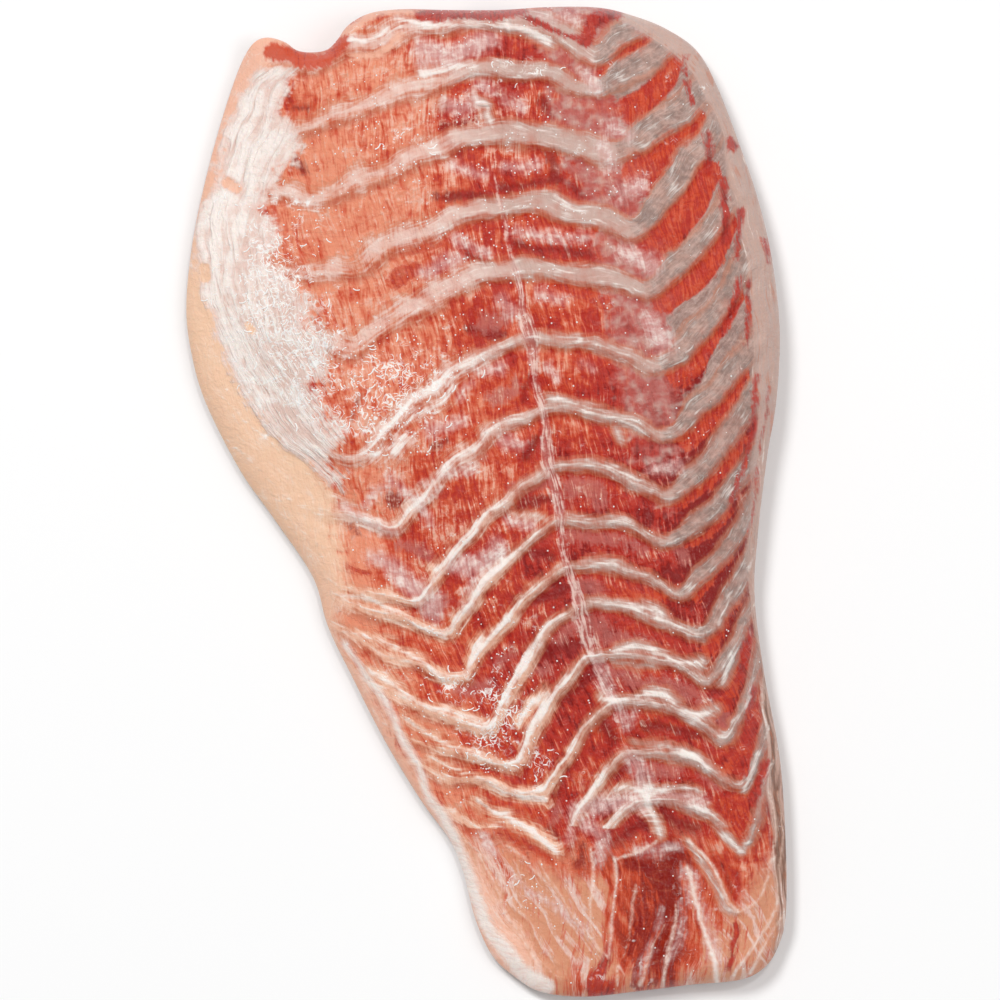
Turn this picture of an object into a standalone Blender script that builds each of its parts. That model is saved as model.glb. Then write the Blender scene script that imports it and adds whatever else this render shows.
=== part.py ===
"""A raw, skinless barramundi fillet that lies flat, bone side up.

Metres, +Z up.  +Y points to the head end, +X to the back (dorsal) edge of the fish.
The origin is under the middle of the fillet, on the flat side it lies on.
The fillet is one closed solid: a smooth outline, a top that is a height field with the relief
of the muscle segments on it, and a flat underside with a rounded rim.
"""

import math

import bpy
import numpy as np
from mathutils import Vector
from mathutils.geometry import delaunay_2d_cdt

MM = 0.001

# Driving sizes, in millimetres ---------------------------------------------------------------

FLAP_THICKNESS = 8.0
CROWN_STATIONS = (-140, -95, -45, 10, 60, 105, 140)
CROWN_THICKNESS = (13.5, 18.0, 24.5, 29.5, 31.0, 29.0, 25.5)
# share of the crown's rise above the flap at: belly edge, belly trough, seam, back trough, back edge
CROWN_SHARE = (0.02, 0.42, 0.80, 1.00, 0.62)

# Each stretch of the rim: how far the top rounds over, how far the underside rounds under,
# and how high the widest point of the rim stands.
HEAD_RIM = (4.0, 2.5, 8.0)
BACK_RIM = (13.0, 5.0, 8.5)
TAIL_RIM = (6.0, 3.0, 5.0)
BELLY_RIM = (7.0, 2.5, 3.4)

# The outline, clockwise from above, by its four edges.
HEAD_EDGE = (
    (-66, 129.5), (-62, 131.4), (-57, 130.2), (-53.5, 127.8), (-49.5, 127.2), (-45, 127.9),
    (-42, 130.8), (-39, 134.8), (-33, 138.2), (-24, 139.4), (-12, 139.2), (4, 139.2),
    (18, 140), (32, 139.8), (42, 137.4),
)
BACK_EDGE = (
    (51, 133.8), (59.5, 127.8), (65.2, 118), (71.2, 102.5), (77, 85.5), (81, 68), (83.1, 48.5),
    (82.2, 29), (79.4, 11.8), (76.8, -10.5), (76, -26.5), (78.6, -47.8), (83.2, -73), (84.9, -99),
    (84.8, -117),
)
TAIL_EDGE = (
    (82.8, -125.6), (79, -131.6), (72, -135.2), (58, -136.6), (43.5, -138.4), (28, -140),
    (15.5, -138.6),
)
BELLY_EDGE = (
    (8.2, -134.4), (1.8, -128.4), (-3, -118), (-6.4, -105), (-10.2, -95.8), (-18.4, -84.4),
    (-28.6, -67.6), (-38.4, -48.4), (-44.8, -35), (-49, -21.2), (-59.8, -5), (-69.6, 9),
    (-79.6, 28.8), (-83.8, 44.4), (-84.8, 57), (-83, 74), (-79.4, 91.2), (-74.8, 108.2),
    (-69.8, 123),
)

# Lines that run from head to tail, as x at given y: where the muscle segments turn.
SEAM_STATIONS = (140, 85, 52, 20, -20, -40, -60, -83, -105, -140)
SEAM_X = (0, 4, 11.3, 16.7, 23.8, 29, 37.4, 45, 51.5, 47)
BACK_TROUGH_STATIONS = (123, 109, 75, 57, 36, 2, -26, -40, -52, -67, -82, -115, -140)
BACK_TROUGH_X = (30, 33, 42, 45.5, 48.5, 51.5, 54, 60, 63.5, 68, 71.5, 72.5, 72)
BELLY_TROUGH_STATIONS = (124, 105, 85, 63, 42, 12, -7, -29, -37, -50, -65, -75, -83, -98, -140)
BELLY_TROUGH_X = (-50, -48, -43, -38.5, -37, -36, -25, -19, -9, -5.5, 0.5, 8.5, 17, 21.5, 30)
BELLY_SIDE_STATIONS = (130, 105, 70, 35, 0, -30, -60, -85, -110, -140)
BELLY_SIDE_X = (-66, -74, -83, -81, -63, -46, -33, -18, -5, 10)
BACK_SIDE_STATIONS = (130, 105, 70, 35, 0, -30, -60, -85, -110, -140)
BACK_SIDE_X = (57, 70, 81, 83, 78, 76, 81, 84, 85, 82)

# The septa between the muscle segments, head to tail: y where each one leaves the seam, how far
# it falls to the belly trough and to the back trough, and how far its arms climb again.
SEPTA = (
    # seam y, belly fall, back fall, belly climb, back climb
    (135.5, 12.0, 12.0, 1.0, 22.0),
    (121.0, 16.0, 6.5, 2.0, 16.0),
    (102.0, 16.8, 6.3, 6.0, 20.0),
    (82.2, 18.5, 7.5, 8.0, 34.0),
    (64.6, 22.0, 7.2, 8.5, 34.0),
    (46.2, 33.5, 10.0, 6.5, 38.0),
    (26.8, 33.5, 9.6, 8.5, 36.0),
    (10.2, 39.0, 9.4, 10.0, 36.0),
    (-4.6, 32.0, 7.6, 12.0, 28.5),
    (-17.2, 33.0, 9.8, 15.5, 28.5),
    (-29.0, 36.2, 9.2, 18.5, 22.0),
    (-42.8, 32.4, 7.7, 13.0, 22.0),
    (-56.0, 27.2, 11.0, 11.0, 24.0),
    (-69.8, 28.6, 11.6, 14.0, 22.0),
    (-83.2, 24.0, 14.0, 13.0, 28.0),
)
BELLY_BEND = 1.5
BACK_BEND = 2.2
BELLY_ARM_BEND = 1.2
BACK_ARM_BEND = 1.35
TROUGH_ROUNDING = 2.0
SEAM_STEP = 2.6
SEAM_STEP_AT = 10.0
SEAM_STEP_SPREAD = 26.0

RIDGE_HEIGHT = 0.75
RIDGE_HALF_WIDTH = 1.5
CREASE_DEPTH = 0.55
CREASE_OFFSET = 2.6
SEAM_DEPTH = 0.9
SEAM_HALF_WIDTH = 3.0
PATTERN_END = -92.0
PATTERN_FADE = 12.0

# Tendons of the tail end: x and y at the upper end, then at the lower end.
TENDONS = (
    (30.0, -100, 33.5, -129),
    (36.0, -102, 34.5, -128),
    (42.5, -107, 38.5, -128),
    (56.0, -104, 65.5, -134),
    (79.5, -112, 71.5, -134),
    (84.0, -104, 75.5, -132),
)
TENDON_HEIGHT = 0.8
TENDON_HALF_WIDTH = 1.3

OUTLINE_STEP = 4.0
OUTLINE_FINE_STEP = 0.8
RIM_ANGLES = (24, 47, 70, 90)
UNDER_ANGLES = (45, 90)
RELIEF_STEP = 3.6
FILL_STEP = 4.4
CLOSEST = 2.0
UNDER_STEP = 16.0
UNDER_CLOSEST = 1.4

FLESH_COLOUR = (0.72, 0.16, 0.09, 1.0)
FLESH_ROUGHNESS = 0.35


# Curves ---------------------------------------------------------------------------------------

def smooth_curve(at, stations, values):
    """Read a smooth curve through (station, value) pairs; flat beyond its ends."""
    order = np.argsort(stations)
    knots = np.asarray(stations, float)[order]
    heights = np.asarray(values, float)[order]
    slopes = np.gradient(heights, knots)
    at = np.clip(at, knots[0], knots[-1])
    i = np.clip(np.searchsorted(knots, at) - 1, 0, len(knots) - 2)
    return hermite(at, knots[i], knots[i + 1], heights[i], heights[i + 1], slopes[i], slopes[i + 1])


def hermite(at, x0, x1, y0, y1, m0, m1):
    """Cubic between two knots with given slopes."""
    span = x1 - x0
    t = (at - x0) / span
    rise = y1 - y0
    blend = t * t * (3 - 2 * t)
    return y0 + rise * blend + span * t * (1 - t) * (m0 * (1 - t) - m1 * t)


def catmull_rom(a, b, c, d, t):
    """One point of the smooth stretch from b to c."""
    return 0.5 * (2 * b + (c - a) * t + (2 * a - 5 * b + 4 * c - d) * t * t
                  + (3 * b - a - 3 * c + d) * t ** 3)


def outline_samples(step):
    """Points along the outline about `step` apart, each with its rim sizes."""
    corners, rims = [], []
    edges = ((HEAD_EDGE, HEAD_RIM), (BACK_EDGE, BACK_RIM), (TAIL_EDGE, TAIL_RIM),
             (BELLY_EDGE, BELLY_RIM))
    for edge, rim in edges:
        for corner in edge:
            corners.append(np.array(corner, float))
            rims.append(np.array(rim, float))
    count = len(corners)
    fine = []
    for i in range(count):
        a, b, c, d = (corners[(i + k) % count] for k in (-1, 0, 1, 2))
        for t in np.linspace(0, 1, 24, endpoint=False):
            rim = rims[i] + (rims[(i + 1) % count] - rims[i]) * t
            fine.append(np.concatenate((catmull_rom(a, b, c, d, t), rim)))
    fine = np.array(fine + fine[:1])
    travelled = np.concatenate(([0], np.cumsum(np.hypot(*np.diff(fine[:, :2], axis=0).T))))
    marks = np.linspace(0, travelled[-1], round(travelled[-1] / step), endpoint=False)
    return np.stack([np.interp(marks, travelled, column) for column in fine.T], axis=1)


def inward_normals(points):
    """Unit vectors that point into the fillet, for a clockwise outline."""
    along = np.roll(points, -1, axis=0) - np.roll(points, 1, axis=0)
    inward = np.stack((along[:, 1], -along[:, 0]), axis=1)
    return inward / np.linalg.norm(inward, axis=1, keepdims=True)


# The rim: distance in from the outline, and the rim sizes that hold there ---------------------

def rim_fields(x, y):
    """Smooth distance to the outline, and the rim's three sizes blended from nearby edges."""
    outline = outline_samples(OUTLINE_FINE_STEP)
    step = np.hypot(*(outline[0, :2] - outline[1, :2]))
    distance = np.empty(len(x))
    sizes = np.empty((len(x), 3))
    for start in range(0, len(x), 4000):
        part = slice(start, start + 4000)
        gap2 = (x[part, None] - outline[:, 0]) ** 2 + (y[part, None] - outline[:, 1]) ** 2
        closest = gap2.argmin(axis=1)
        near = np.minimum(segment_distance(x[part], y[part], outline, closest - 1),
                          segment_distance(x[part], y[part], outline, closest))
        weight = 1 / np.maximum(gap2, 0.04) ** 2
        total = weight.sum(axis=1)
        smooth = (total * step / (math.pi / 2)) ** (-1 / 3)
        share = np.clip((near - 1.0) / 2.0, 0, 1)
        distance[part] = near + (smooth - near) * share
        sizes[part] = (weight @ outline[:, 2:]) / total[:, None]
    return distance, sizes[:, 0], sizes[:, 1], sizes[:, 2]


def segment_distance(x, y, outline, first):
    """Distance to the outline's segment that starts at sample `first`."""
    ax, ay = outline[first, 0], outline[first, 1]
    bx, by = outline[(first + 1) % len(outline), :2].T
    along = ((x - ax) * (bx - ax) + (y - ay) * (by - ay)) / ((bx - ax) ** 2 + (by - ay) ** 2)
    along = np.clip(along, 0, 1)
    return np.hypot(x - ax - along * (bx - ax), y - ay - along * (by - ay))


def rounding(distance, reach):
    """Quarter-ellipse rise from 0 at the outline to 1 at `reach` from it."""
    left = 1 - np.clip(distance / reach, 0, 1)
    return np.sqrt(np.maximum(1 - left * left, 0))


# The crown: the fillet's thickness without relief ---------------------------------------------

def guide_lines(y):
    """x of the five lines that run from head to tail, belly edge first."""
    return (
        smooth_curve(y, BELLY_SIDE_STATIONS, BELLY_SIDE_X),
        smooth_curve(y, BELLY_TROUGH_STATIONS, BELLY_TROUGH_X),
        smooth_curve(y, SEAM_STATIONS, SEAM_X),
        smooth_curve(y, BACK_TROUGH_STATIONS, BACK_TROUGH_X),
        smooth_curve(y, BACK_SIDE_STATIONS, BACK_SIDE_X),
    )


def crown(x, y):
    """Height of the top before relief: a thick back, a thin belly flap, a thinner tail."""
    lines = guide_lines(y)
    x = np.clip(x, lines[0], lines[-1])
    slopes = []
    for i in range(5):
        low, high = max(i - 1, 0), min(i + 1, 4)
        slopes.append((CROWN_SHARE[high] - CROWN_SHARE[low]) / (lines[high] - lines[low]))
    share = np.zeros_like(x)
    for i in range(4):
        here = (x >= lines[i]) & (x <= lines[i + 1])
        curve = hermite(x, lines[i], lines[i + 1], CROWN_SHARE[i], CROWN_SHARE[i + 1],
                        slopes[i], slopes[i + 1])
        share = np.where(here, curve, share)
    thickest = smooth_curve(y, CROWN_STATIONS, CROWN_THICKNESS)
    return FLAP_THICKNESS + (thickest - FLAP_THICKNESS) * share


# The septa ------------------------------------------------------------------------------------

def septum_y(x, septum):
    """y of one septum at x: it falls from the seam to a trough on each side, then climbs."""
    seam_y, belly_fall, back_fall, belly_climb, back_climb = septum
    seam_x = float(smooth_curve(seam_y, SEAM_STATIONS, SEAM_X))
    belly_y = seam_y - belly_fall
    belly_x = float(smooth_curve(belly_y, BELLY_TROUGH_STATIONS, BELLY_TROUGH_X))
    back_y = seam_y - back_fall
    back_x = float(smooth_curve(back_y, BACK_TROUGH_STATIONS, BACK_TROUGH_X))
    belly_side = float(smooth_curve(belly_y + belly_climb, BELLY_SIDE_STATIONS, BELLY_SIDE_X))
    back_side = float(smooth_curve(back_y + back_climb, BACK_SIDE_STATIONS, BACK_SIDE_X))
    to_belly = np.clip((seam_x - x) / (seam_x - belly_x), 0, 1)
    to_back = np.clip((x - seam_x) / (back_x - seam_x), 0, 1)
    belly_arm = np.maximum((belly_x - x) / (belly_x - belly_side), 0)
    back_arm = np.maximum((x - back_x) / (back_side - back_x), 0)
    step = SEAM_STEP * math.exp(-((seam_y - SEAM_STEP_AT) / SEAM_STEP_SPREAD) ** 2)
    beside_seam = np.clip((seam_x - x) / 4.0, 0, 1) * (1 - to_belly)
    return (seam_y - belly_fall * to_belly ** BELLY_BEND - back_fall * to_back ** BACK_BEND
            + belly_climb * belly_arm ** BELLY_ARM_BEND + back_climb * back_arm ** BACK_ARM_BEND
            - step * beside_seam)


def septum_line(x, septum):
    """The septum with its corners at the troughs rounded."""
    wobble = 0.5 * np.sin(x / 7.3 + septum[0]) + 0.35 * np.sin(x / 3.1 + 2.1 * septum[0])
    sides = septum_y(x - TROUGH_ROUNDING, septum) + septum_y(x + TROUGH_ROUNDING, septum)
    return 0.5 * septum_y(x, septum) + 0.25 * sides + wobble


def septum_relief(x, y, septum):
    """A raised line with a crease on its tail side."""
    line = septum_line(x, septum)
    slope = septum_line(x + 0.5, septum) - septum_line(x - 0.5, septum)
    off = (y - line) / np.sqrt(1 + slope ** 2)
    ridge = RIDGE_HEIGHT * np.exp(-(off / RIDGE_HALF_WIDTH) ** 2)
    crease = CREASE_DEPTH * np.exp(-((off + CREASE_OFFSET) / RIDGE_HALF_WIDTH) ** 2)
    return ridge - crease


def tendon_relief(x, y, tendon):
    """A raised cord of the tail end, from its upper to its lower end."""
    x0, y0, x1, y1 = tendon
    along = np.clip((y - y0) / (y1 - y0), 0, 1)
    off = x - (x0 + (x1 - x0) * along)
    ends = np.exp(-(np.maximum(y - y0, 0) ** 2 + np.maximum(y1 - y, 0) ** 2) / 16)
    return TENDON_HEIGHT * np.exp(-(off / TENDON_HALF_WIDTH) ** 2) * ends


def relief(x, y):
    """Ridges of the septa, the groove of the seam, and the cords of the tail end."""
    lines = guide_lines(y)
    bands = sum(septum_relief(x, y, septum) for septum in SEPTA)
    in_pattern = np.clip((y - PATTERN_END) / PATTERN_FADE + 0.5, 0, 1)
    off_flap = np.clip((x - lines[0]) / (lines[1] - lines[0]) * 2 - 0.4, 0, 1)
    seam = SEAM_DEPTH * np.exp(-((x - lines[2]) / SEAM_HALF_WIDTH) ** 2)
    cords = sum(tendon_relief(x, y, tendon) for tendon in TENDONS)
    return bands * in_pattern * off_flap - seam + cords


# Surfaces -------------------------------------------------------------------------------------

def unevenness(x, y):
    """The slow rise and fall of limp flesh."""
    return 0.45 * np.sin(x / 17 + 0.7) * np.sin(y / 23 + 1.1) + 0.3 * np.sin((x + y) / 11 + 2)


def top_height(x, y):
    distance, over, _, rim = rim_fields(x, y)
    round_in = rounding(distance, over)
    inner = np.clip((distance - 1.0) / 5.0, 0, 1)
    detail = (relief(x, y) + unevenness(x, y)) * inner * inner * (3 - 2 * inner)
    return rim + (crown(x, y) - rim) * round_in + detail


def under_height(x, y):
    distance, _, under, rim = rim_fields(x, y)
    return rim * (1 - rounding(distance, under))


# Where the points go --------------------------------------------------------------------------

def ring_points(outline, column, angles):
    """Rings inside the outline, closer together where the rim is steep."""
    inward = inward_normals(outline[:, :2])
    rings = []
    for angle in angles:
        depth = outline[:, column] * (1 - math.cos(math.radians(angle)))
        rings.append(outline[:, :2] + inward * depth[:, None])
    return np.concatenate(rings)


def relief_points():
    """Rows of points on the crest, in the crease and on the head side of each septum."""
    points = []
    for septum in SEPTA:
        x = np.arange(-80, 84, 0.5)
        y = septum_line(x, septum)
        along = np.concatenate(([0], np.cumsum(np.hypot(np.diff(x), np.diff(y)))))
        marks = np.arange(0, along[-1], RELIEF_STEP)
        px, py = np.interp(marks, along, x), np.interp(marks, along, y)
        slope = np.gradient(py, px)
        length = np.sqrt(1 + slope ** 2)
        for off in (0, -CREASE_OFFSET, 1.6 * RIDGE_HALF_WIDTH):
            points.append(np.stack((px - off * slope / length, py + off / length), axis=1))
    points = np.concatenate(points)
    return points[points[:, 1] > PATTERN_END - 4]


def tendon_points():
    rows = []
    for x0, y0, x1, y1 in TENDONS:
        for t in np.linspace(0, 1, 9):
            for side in (0, -2, 2):
                rows.append((x0 + (x1 - x0) * t + side, y0 + (y1 - y0) * t))
    return np.array(rows, float)


def seam_points():
    y = np.arange(PATTERN_END, 136, RELIEF_STEP)
    x = smooth_curve(y, SEAM_STATIONS, SEAM_X)
    sides = (0, -SEAM_HALF_WIDTH, SEAM_HALF_WIDTH)
    return np.concatenate([np.stack((x + side, y), axis=1) for side in sides])


def hex_points(step):
    rows = []
    for j, y in enumerate(np.arange(-140, 140, step * 0.866)):
        for x in np.arange(-86, 86, step):
            rows.append((x + step / 2 * (j % 2), y))
    return np.array(rows)


def spread_out(groups, margin, clear):
    """Keep points in order, dropping one that is near the outline or near a kept one."""
    kept = []
    taken = {}
    for points in groups:
        distance = rim_fields(points[:, 0], points[:, 1])[0]
        inside = is_inside(points)
        for point, gap, within in zip(points, distance, inside):
            if not within or gap < margin:
                continue
            i, j = int(point[0] // clear), int(point[1] // clear)
            cells = [(i + a, j + b) for a in (-1, 0, 1) for b in (-1, 0, 1)]
            near = [q for cell in cells for q in taken.get(cell, ())]
            if all((q[0] - point[0]) ** 2 + (q[1] - point[1]) ** 2 > clear * clear for q in near):
                taken.setdefault((i, j), []).append(point)
                kept.append(point)
    return np.array(kept)


def is_inside(points):
    """Whether each point lies inside the outline, by crossings of its edges."""
    outline = outline_samples(2.0)[:, :2]
    a, b = outline, np.roll(outline, -1, axis=0)
    x, y = points[:, 0, None], points[:, 1, None]
    spans = (a[:, 1] > y) != (b[:, 1] > y)
    rise = np.where(b[:, 1] == a[:, 1], 1, b[:, 1] - a[:, 1])
    crossing = a[:, 0] + (y - a[:, 1]) / rise * (b[:, 0] - a[:, 0])
    return (spans & (x < crossing)).sum(axis=1) % 2 == 1


# The mesh -------------------------------------------------------------------------------------

def fill_outline(rim, inner):
    """Triangles over the rim ring and the points inside it, counter-clockwise from above."""
    flat = [Vector(p) for p in np.concatenate((rim, inner))]
    border = [(i, (i + 1) % len(rim)) for i in range(len(rim))]
    _, _, faces, origins, _, _ = delaunay_2d_cdt(flat, border, [], 1, 1e-6)
    triangles = []
    for face in faces:
        a, b, c = (origins[i][0] for i in face)
        turn = (flat[b] - flat[a]).cross(flat[c] - flat[a])
        triangles.append((a, b, c) if turn > 0 else (a, c, b))
    return triangles


def build_fillet():
    outline = outline_samples(OUTLINE_STEP)
    rim = outline[:, :2]
    over = ring_points(outline, 2, RIM_ANGLES)
    inside = (over, seam_points(), relief_points(), tendon_points(), hex_points(FILL_STEP))
    top = spread_out(inside, 0.25, CLOSEST)
    below = (ring_points(outline, 3, UNDER_ANGLES), hex_points(UNDER_STEP))
    under = spread_out(below, 0.5, UNDER_CLOSEST)

    rim_z = outline[:, 4]
    top_z = top_height(top[:, 0], top[:, 1])
    under_z = under_height(under[:, 0], under[:, 1])
    vertices = [(x, y, z) for (x, y), z in zip(rim, rim_z)]
    vertices += [(x, y, z) for (x, y), z in zip(top, top_z)]
    vertices += [(x, y, z) for (x, y), z in zip(under, under_z)]
    vertices = [tuple(MM * float(v) for v in vertex) for vertex in vertices]

    faces = fill_outline(rim, top)
    shift = len(top)
    for a, b, c in fill_outline(rim, under):
        a, b, c = (i if i < len(rim) else i + shift for i in (a, b, c))
        faces.append((a, c, b))

    mesh = bpy.data.meshes.new("fillet")
    mesh.from_pydata(vertices, [], faces)
    mesh.validate()
    mesh.shade_smooth()
    fillet = bpy.data.objects.new("fillet", mesh)
    bpy.context.collection.objects.link(fillet)
    mesh.materials.append(flesh())
    return fillet


def flesh():
    material = bpy.data.materials.new("raw barramundi flesh")
    material.use_nodes = True
    shader = material.node_tree.nodes["Principled BSDF"]
    shader.inputs["Base Color"].default_value = FLESH_COLOUR
    shader.inputs["Roughness"].default_value = FLESH_ROUGHNESS
    shader.inputs["Metallic"].default_value = 0.0
    return material


def main():
    for thing in list(bpy.data.objects):
        bpy.data.objects.remove(thing, do_unlink=True)
    build_fillet()


main()
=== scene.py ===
"""Raw barramundi fillet: the finished surface, its moisture and the plain studio it lies in.

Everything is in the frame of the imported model: metres, +Z up, +Y to the head end, +X to the
back of the fish.  The tables below are in millimetres on that frame, as seen from above.
"""

import math

import bpy
import numpy as np
from bpy.props import FloatProperty, FloatVectorProperty, IntProperty, PointerProperty
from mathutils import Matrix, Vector
from mathutils.geometry import delaunay_2d_cdt


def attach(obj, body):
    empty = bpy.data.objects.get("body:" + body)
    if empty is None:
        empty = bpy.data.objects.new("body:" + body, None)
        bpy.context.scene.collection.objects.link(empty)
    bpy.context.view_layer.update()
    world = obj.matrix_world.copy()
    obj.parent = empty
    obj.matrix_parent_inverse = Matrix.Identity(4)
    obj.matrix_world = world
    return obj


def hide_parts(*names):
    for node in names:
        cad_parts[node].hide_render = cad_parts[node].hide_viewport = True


bl_info = {
    "name": "Raw barramundi fillet",
    "version": (1, 0, 0),
    "blender": (4, 5, 0),
    "location": "View3D > Sidebar > Fillet",
    "description": "Builds a raw, skinless barramundi fillet with wet flesh, fat and membrane",
    "category": "Add Mesh",
}

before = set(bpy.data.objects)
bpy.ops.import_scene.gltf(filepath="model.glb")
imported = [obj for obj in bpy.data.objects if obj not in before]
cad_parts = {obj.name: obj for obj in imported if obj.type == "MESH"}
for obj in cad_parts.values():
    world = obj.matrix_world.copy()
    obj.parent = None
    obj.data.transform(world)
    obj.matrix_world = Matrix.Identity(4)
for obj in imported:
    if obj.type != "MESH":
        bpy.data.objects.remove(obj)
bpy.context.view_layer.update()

MM = 0.001

# Form, in millimetres ---------------------------------------------------------------------------

FLAP_THICKNESS = 8.0
CROWN_STATIONS = (-140, -95, -45, 10, 60, 105, 140)
CROWN_THICKNESS = (13.5, 18.0, 24.5, 29.5, 31.0, 29.0, 25.5)
# Share of the crown's rise above the flap: belly edge, belly trough, seam, back trough, back
# edge.
CROWN_SHARE = (0.02, 0.42, 0.80, 1.00, 0.62)

# Each stretch of the rim: how far the top rounds over, how far the underside rounds under,
# and how high the widest point of the rim stands.
HEAD_RIM = (4.0, 2.5, 8.0)
BACK_RIM = (13.0, 5.0, 8.5)
TAIL_RIM = (6.0, 3.0, 5.0)
BELLY_RIM = (7.0, 2.5, 3.4)

# The outline, clockwise from above, by its four edges.
HEAD_EDGE = (
    (-66, 129.5), (-62, 131.4), (-57, 130.2), (-53.5, 127.8), (-49.5, 127.2), (-45, 127.9),
    (-42, 130.8), (-39, 134.8), (-33, 138.2), (-24, 139.4), (-12, 139.2), (4, 139.2),
    (18, 140), (32, 139.8), (42, 137.4),
)
BACK_EDGE = (
    (51, 133.8), (59.5, 127.8), (65.2, 118), (71.2, 102.5), (77, 85.5), (81, 68), (83.1, 48.5),
    (82.2, 29), (79.4, 11.8), (76.8, -10.5), (76, -26.5), (78.6, -47.8), (83.2, -73), (84.9, -99),
    (84.8, -117),
)
TAIL_EDGE = (
    (82.8, -125.6), (79, -131.6), (72, -135.2), (58, -136.6), (43.5, -138.4), (28, -140),
    (15.5, -138.6),
)
BELLY_EDGE = (
    (8.2, -134.4), (1.8, -128.4), (-3, -118), (-6.4, -105), (-10.2, -95.8), (-18.4, -84.4),
    (-28.6, -67.6), (-38.4, -48.4), (-44.8, -35), (-49, -21.2), (-59.8, -5), (-69.6, 9),
    (-79.6, 28.8), (-83.8, 44.4), (-84.8, 57), (-83, 74), (-79.4, 91.2), (-74.8, 108.2),
    (-69.8, 123),
)

# Lines that run from head to tail, as x at given y: where the muscle segments turn.
SEAM_STATIONS = (140, 85, 52, 20, -20, -40, -60, -83, -105, -140)
SEAM_X = (0, 4, 11.3, 16.7, 23.8, 29, 37.4, 45, 51.5, 47)
BACK_TROUGH_STATIONS = (123, 109, 75, 57, 36, 2, -26, -40, -52, -67, -82, -115, -140)
BACK_TROUGH_X = (30, 33, 42, 45.5, 48.5, 51.5, 54, 60, 63.5, 68, 71.5, 72.5, 72)
BELLY_TROUGH_STATIONS = (124, 105, 85, 63, 42, 12, -7, -29, -37, -50, -65, -75, -83, -98, -140)
BELLY_TROUGH_X = (-50, -48, -43, -38.5, -37, -36, -25, -19, -9, -5.5, 0.5, 8.5, 17, 21.5, 30)
BELLY_SIDE_STATIONS = (130, 105, 70, 35, 0, -30, -60, -85, -110, -140)
BELLY_SIDE_X = (-66, -74, -83, -81, -63, -46, -33, -18, -5, 10)
BACK_SIDE_STATIONS = (130, 105, 70, 35, 0, -30, -60, -85, -110, -140)
BACK_SIDE_X = (57, 70, 81, 83, 78, 76, 81, 84, 85, 82)

# The septa between the muscle segments, head to tail: y where each one leaves the seam, how far
# it falls to the belly trough and to the back trough, and how far its arms climb again.
SEPTA = (
    # seam y, belly fall, back fall, belly climb, back climb
    (135.5, 12.0, 12.0, 1.0, 22.0),
    (121.0, 16.0, 6.5, 2.0, 16.0),
    (102.0, 16.8, 6.3, 6.0, 20.0),
    (82.2, 18.5, 7.5, 8.0, 34.0),
    (64.6, 22.0, 7.2, 8.5, 34.0),
    (46.2, 33.5, 10.0, 6.5, 38.0),
    (26.8, 33.5, 9.6, 8.5, 36.0),
    (10.2, 39.0, 9.4, 10.0, 36.0),
    (-4.6, 32.0, 7.6, 12.0, 28.5),
    (-17.2, 33.0, 9.8, 15.5, 28.5),
    (-29.0, 36.2, 9.2, 18.5, 22.0),
    (-42.8, 32.4, 7.7, 13.0, 22.0),
    (-56.0, 27.2, 11.0, 11.0, 24.0),
    (-69.8, 28.6, 11.6, 14.0, 22.0),
    (-83.2, 24.0, 14.0, 13.0, 28.0),
)
BELLY_BEND = 1.5
BACK_BEND = 2.2
BELLY_ARM_BEND = 1.2
BACK_ARM_BEND = 1.35
TROUGH_ROUNDING = 2.0
SEAM_STEP = 2.6
SEAM_STEP_AT = 10.0
SEAM_STEP_SPREAD = 26.0
SEAM_STEP_WIDTH = 4.0

# Half width of each septum's white line: belly arm, belly side, by the seam, back side, back arm.
LINE_WIDTHS = (
    (0.0, 0.0, 0.4, 0.4, 0.0),
    (0.0, 0.0, 0.2, 0.2, 0.0),
    (0.0, 0.1, 0.2, 0.2, 0.0),
    (0.0, 0.1, 0.2, 0.2, 0.0),
    (0.0, 0.1, 0.2, 0.3, 0.0),
    (0.3, 1.2, 0.3, 0.5, 0.0),
    (0.3, 1.1, 0.3, 0.5, 0.0),
    (0.4, 1.2, 0.4, 0.5, 0.0),
    (0.5, 1.2, 0.3, 0.5, 0.1),
    (0.5, 1.1, 0.3, 0.6, 0.2),
    (0.6, 1.4, 0.5, 0.5, 0.3),
    (0.5, 1.4, 0.5, 0.6, 0.4),
    (0.5, 1.1, 0.5, 0.8, 0.4),
    (0.6, 1.2, 0.5, 0.8, 0.4),
    (0.5, 1.0, 0.5, 0.7, 0.4),
)
# Width of the pale fat on the head side of each line, at the same five places.  On the belly
# arms part of it lies on the tail side too.
FAT_WIDTHS = (
    (2.0, 3.0, 4.0, 6.0, 6.0),
    (2.0, 3.5, 2.4, 3.8, 6.4),
    (2.0, 4.5, 4.0, 6.0, 7.2),
    (2.0, 5.0, 3.0, 5.5, 6.8),
    (2.0, 5.0, 4.0, 4.5, 6.0),
    (2.0, 2.5, 1.5, 2.0, 5.4),
    (1.5, 1.8, 1.2, 1.8, 5.2),
    (1.5, 1.5, 1.2, 1.6, 5.2),
    (1.6, 1.3, 1.0, 1.4, 4.3),
    (1.8, 1.2, 1.0, 1.3, 4.0),
    (1.8, 1.2, 1.0, 1.3, 3.4),
    (1.6, 1.2, 1.0, 1.3, 3.0),
    (1.6, 1.2, 1.0, 1.4, 2.4),
    (1.6, 1.2, 1.0, 1.4, 2.0),
    (1.4, 1.2, 1.0, 1.2, 2.0),
)

RIDGE_HEIGHT = 0.75
RIDGE_HALF_WIDTH = 1.5
CREASE_DEPTH = 0.55
CREASE_OFFSET = 2.6
SEAM_DEPTH = 0.9
SEAM_HALF_WIDTH = 3.0
PATTERN_END = -92.0
PATTERN_FADE = 12.0
SEAM_WHITE_END = -62
LINING_HEAD_END = 122.6
LINING_TAIL_END = 4

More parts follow.
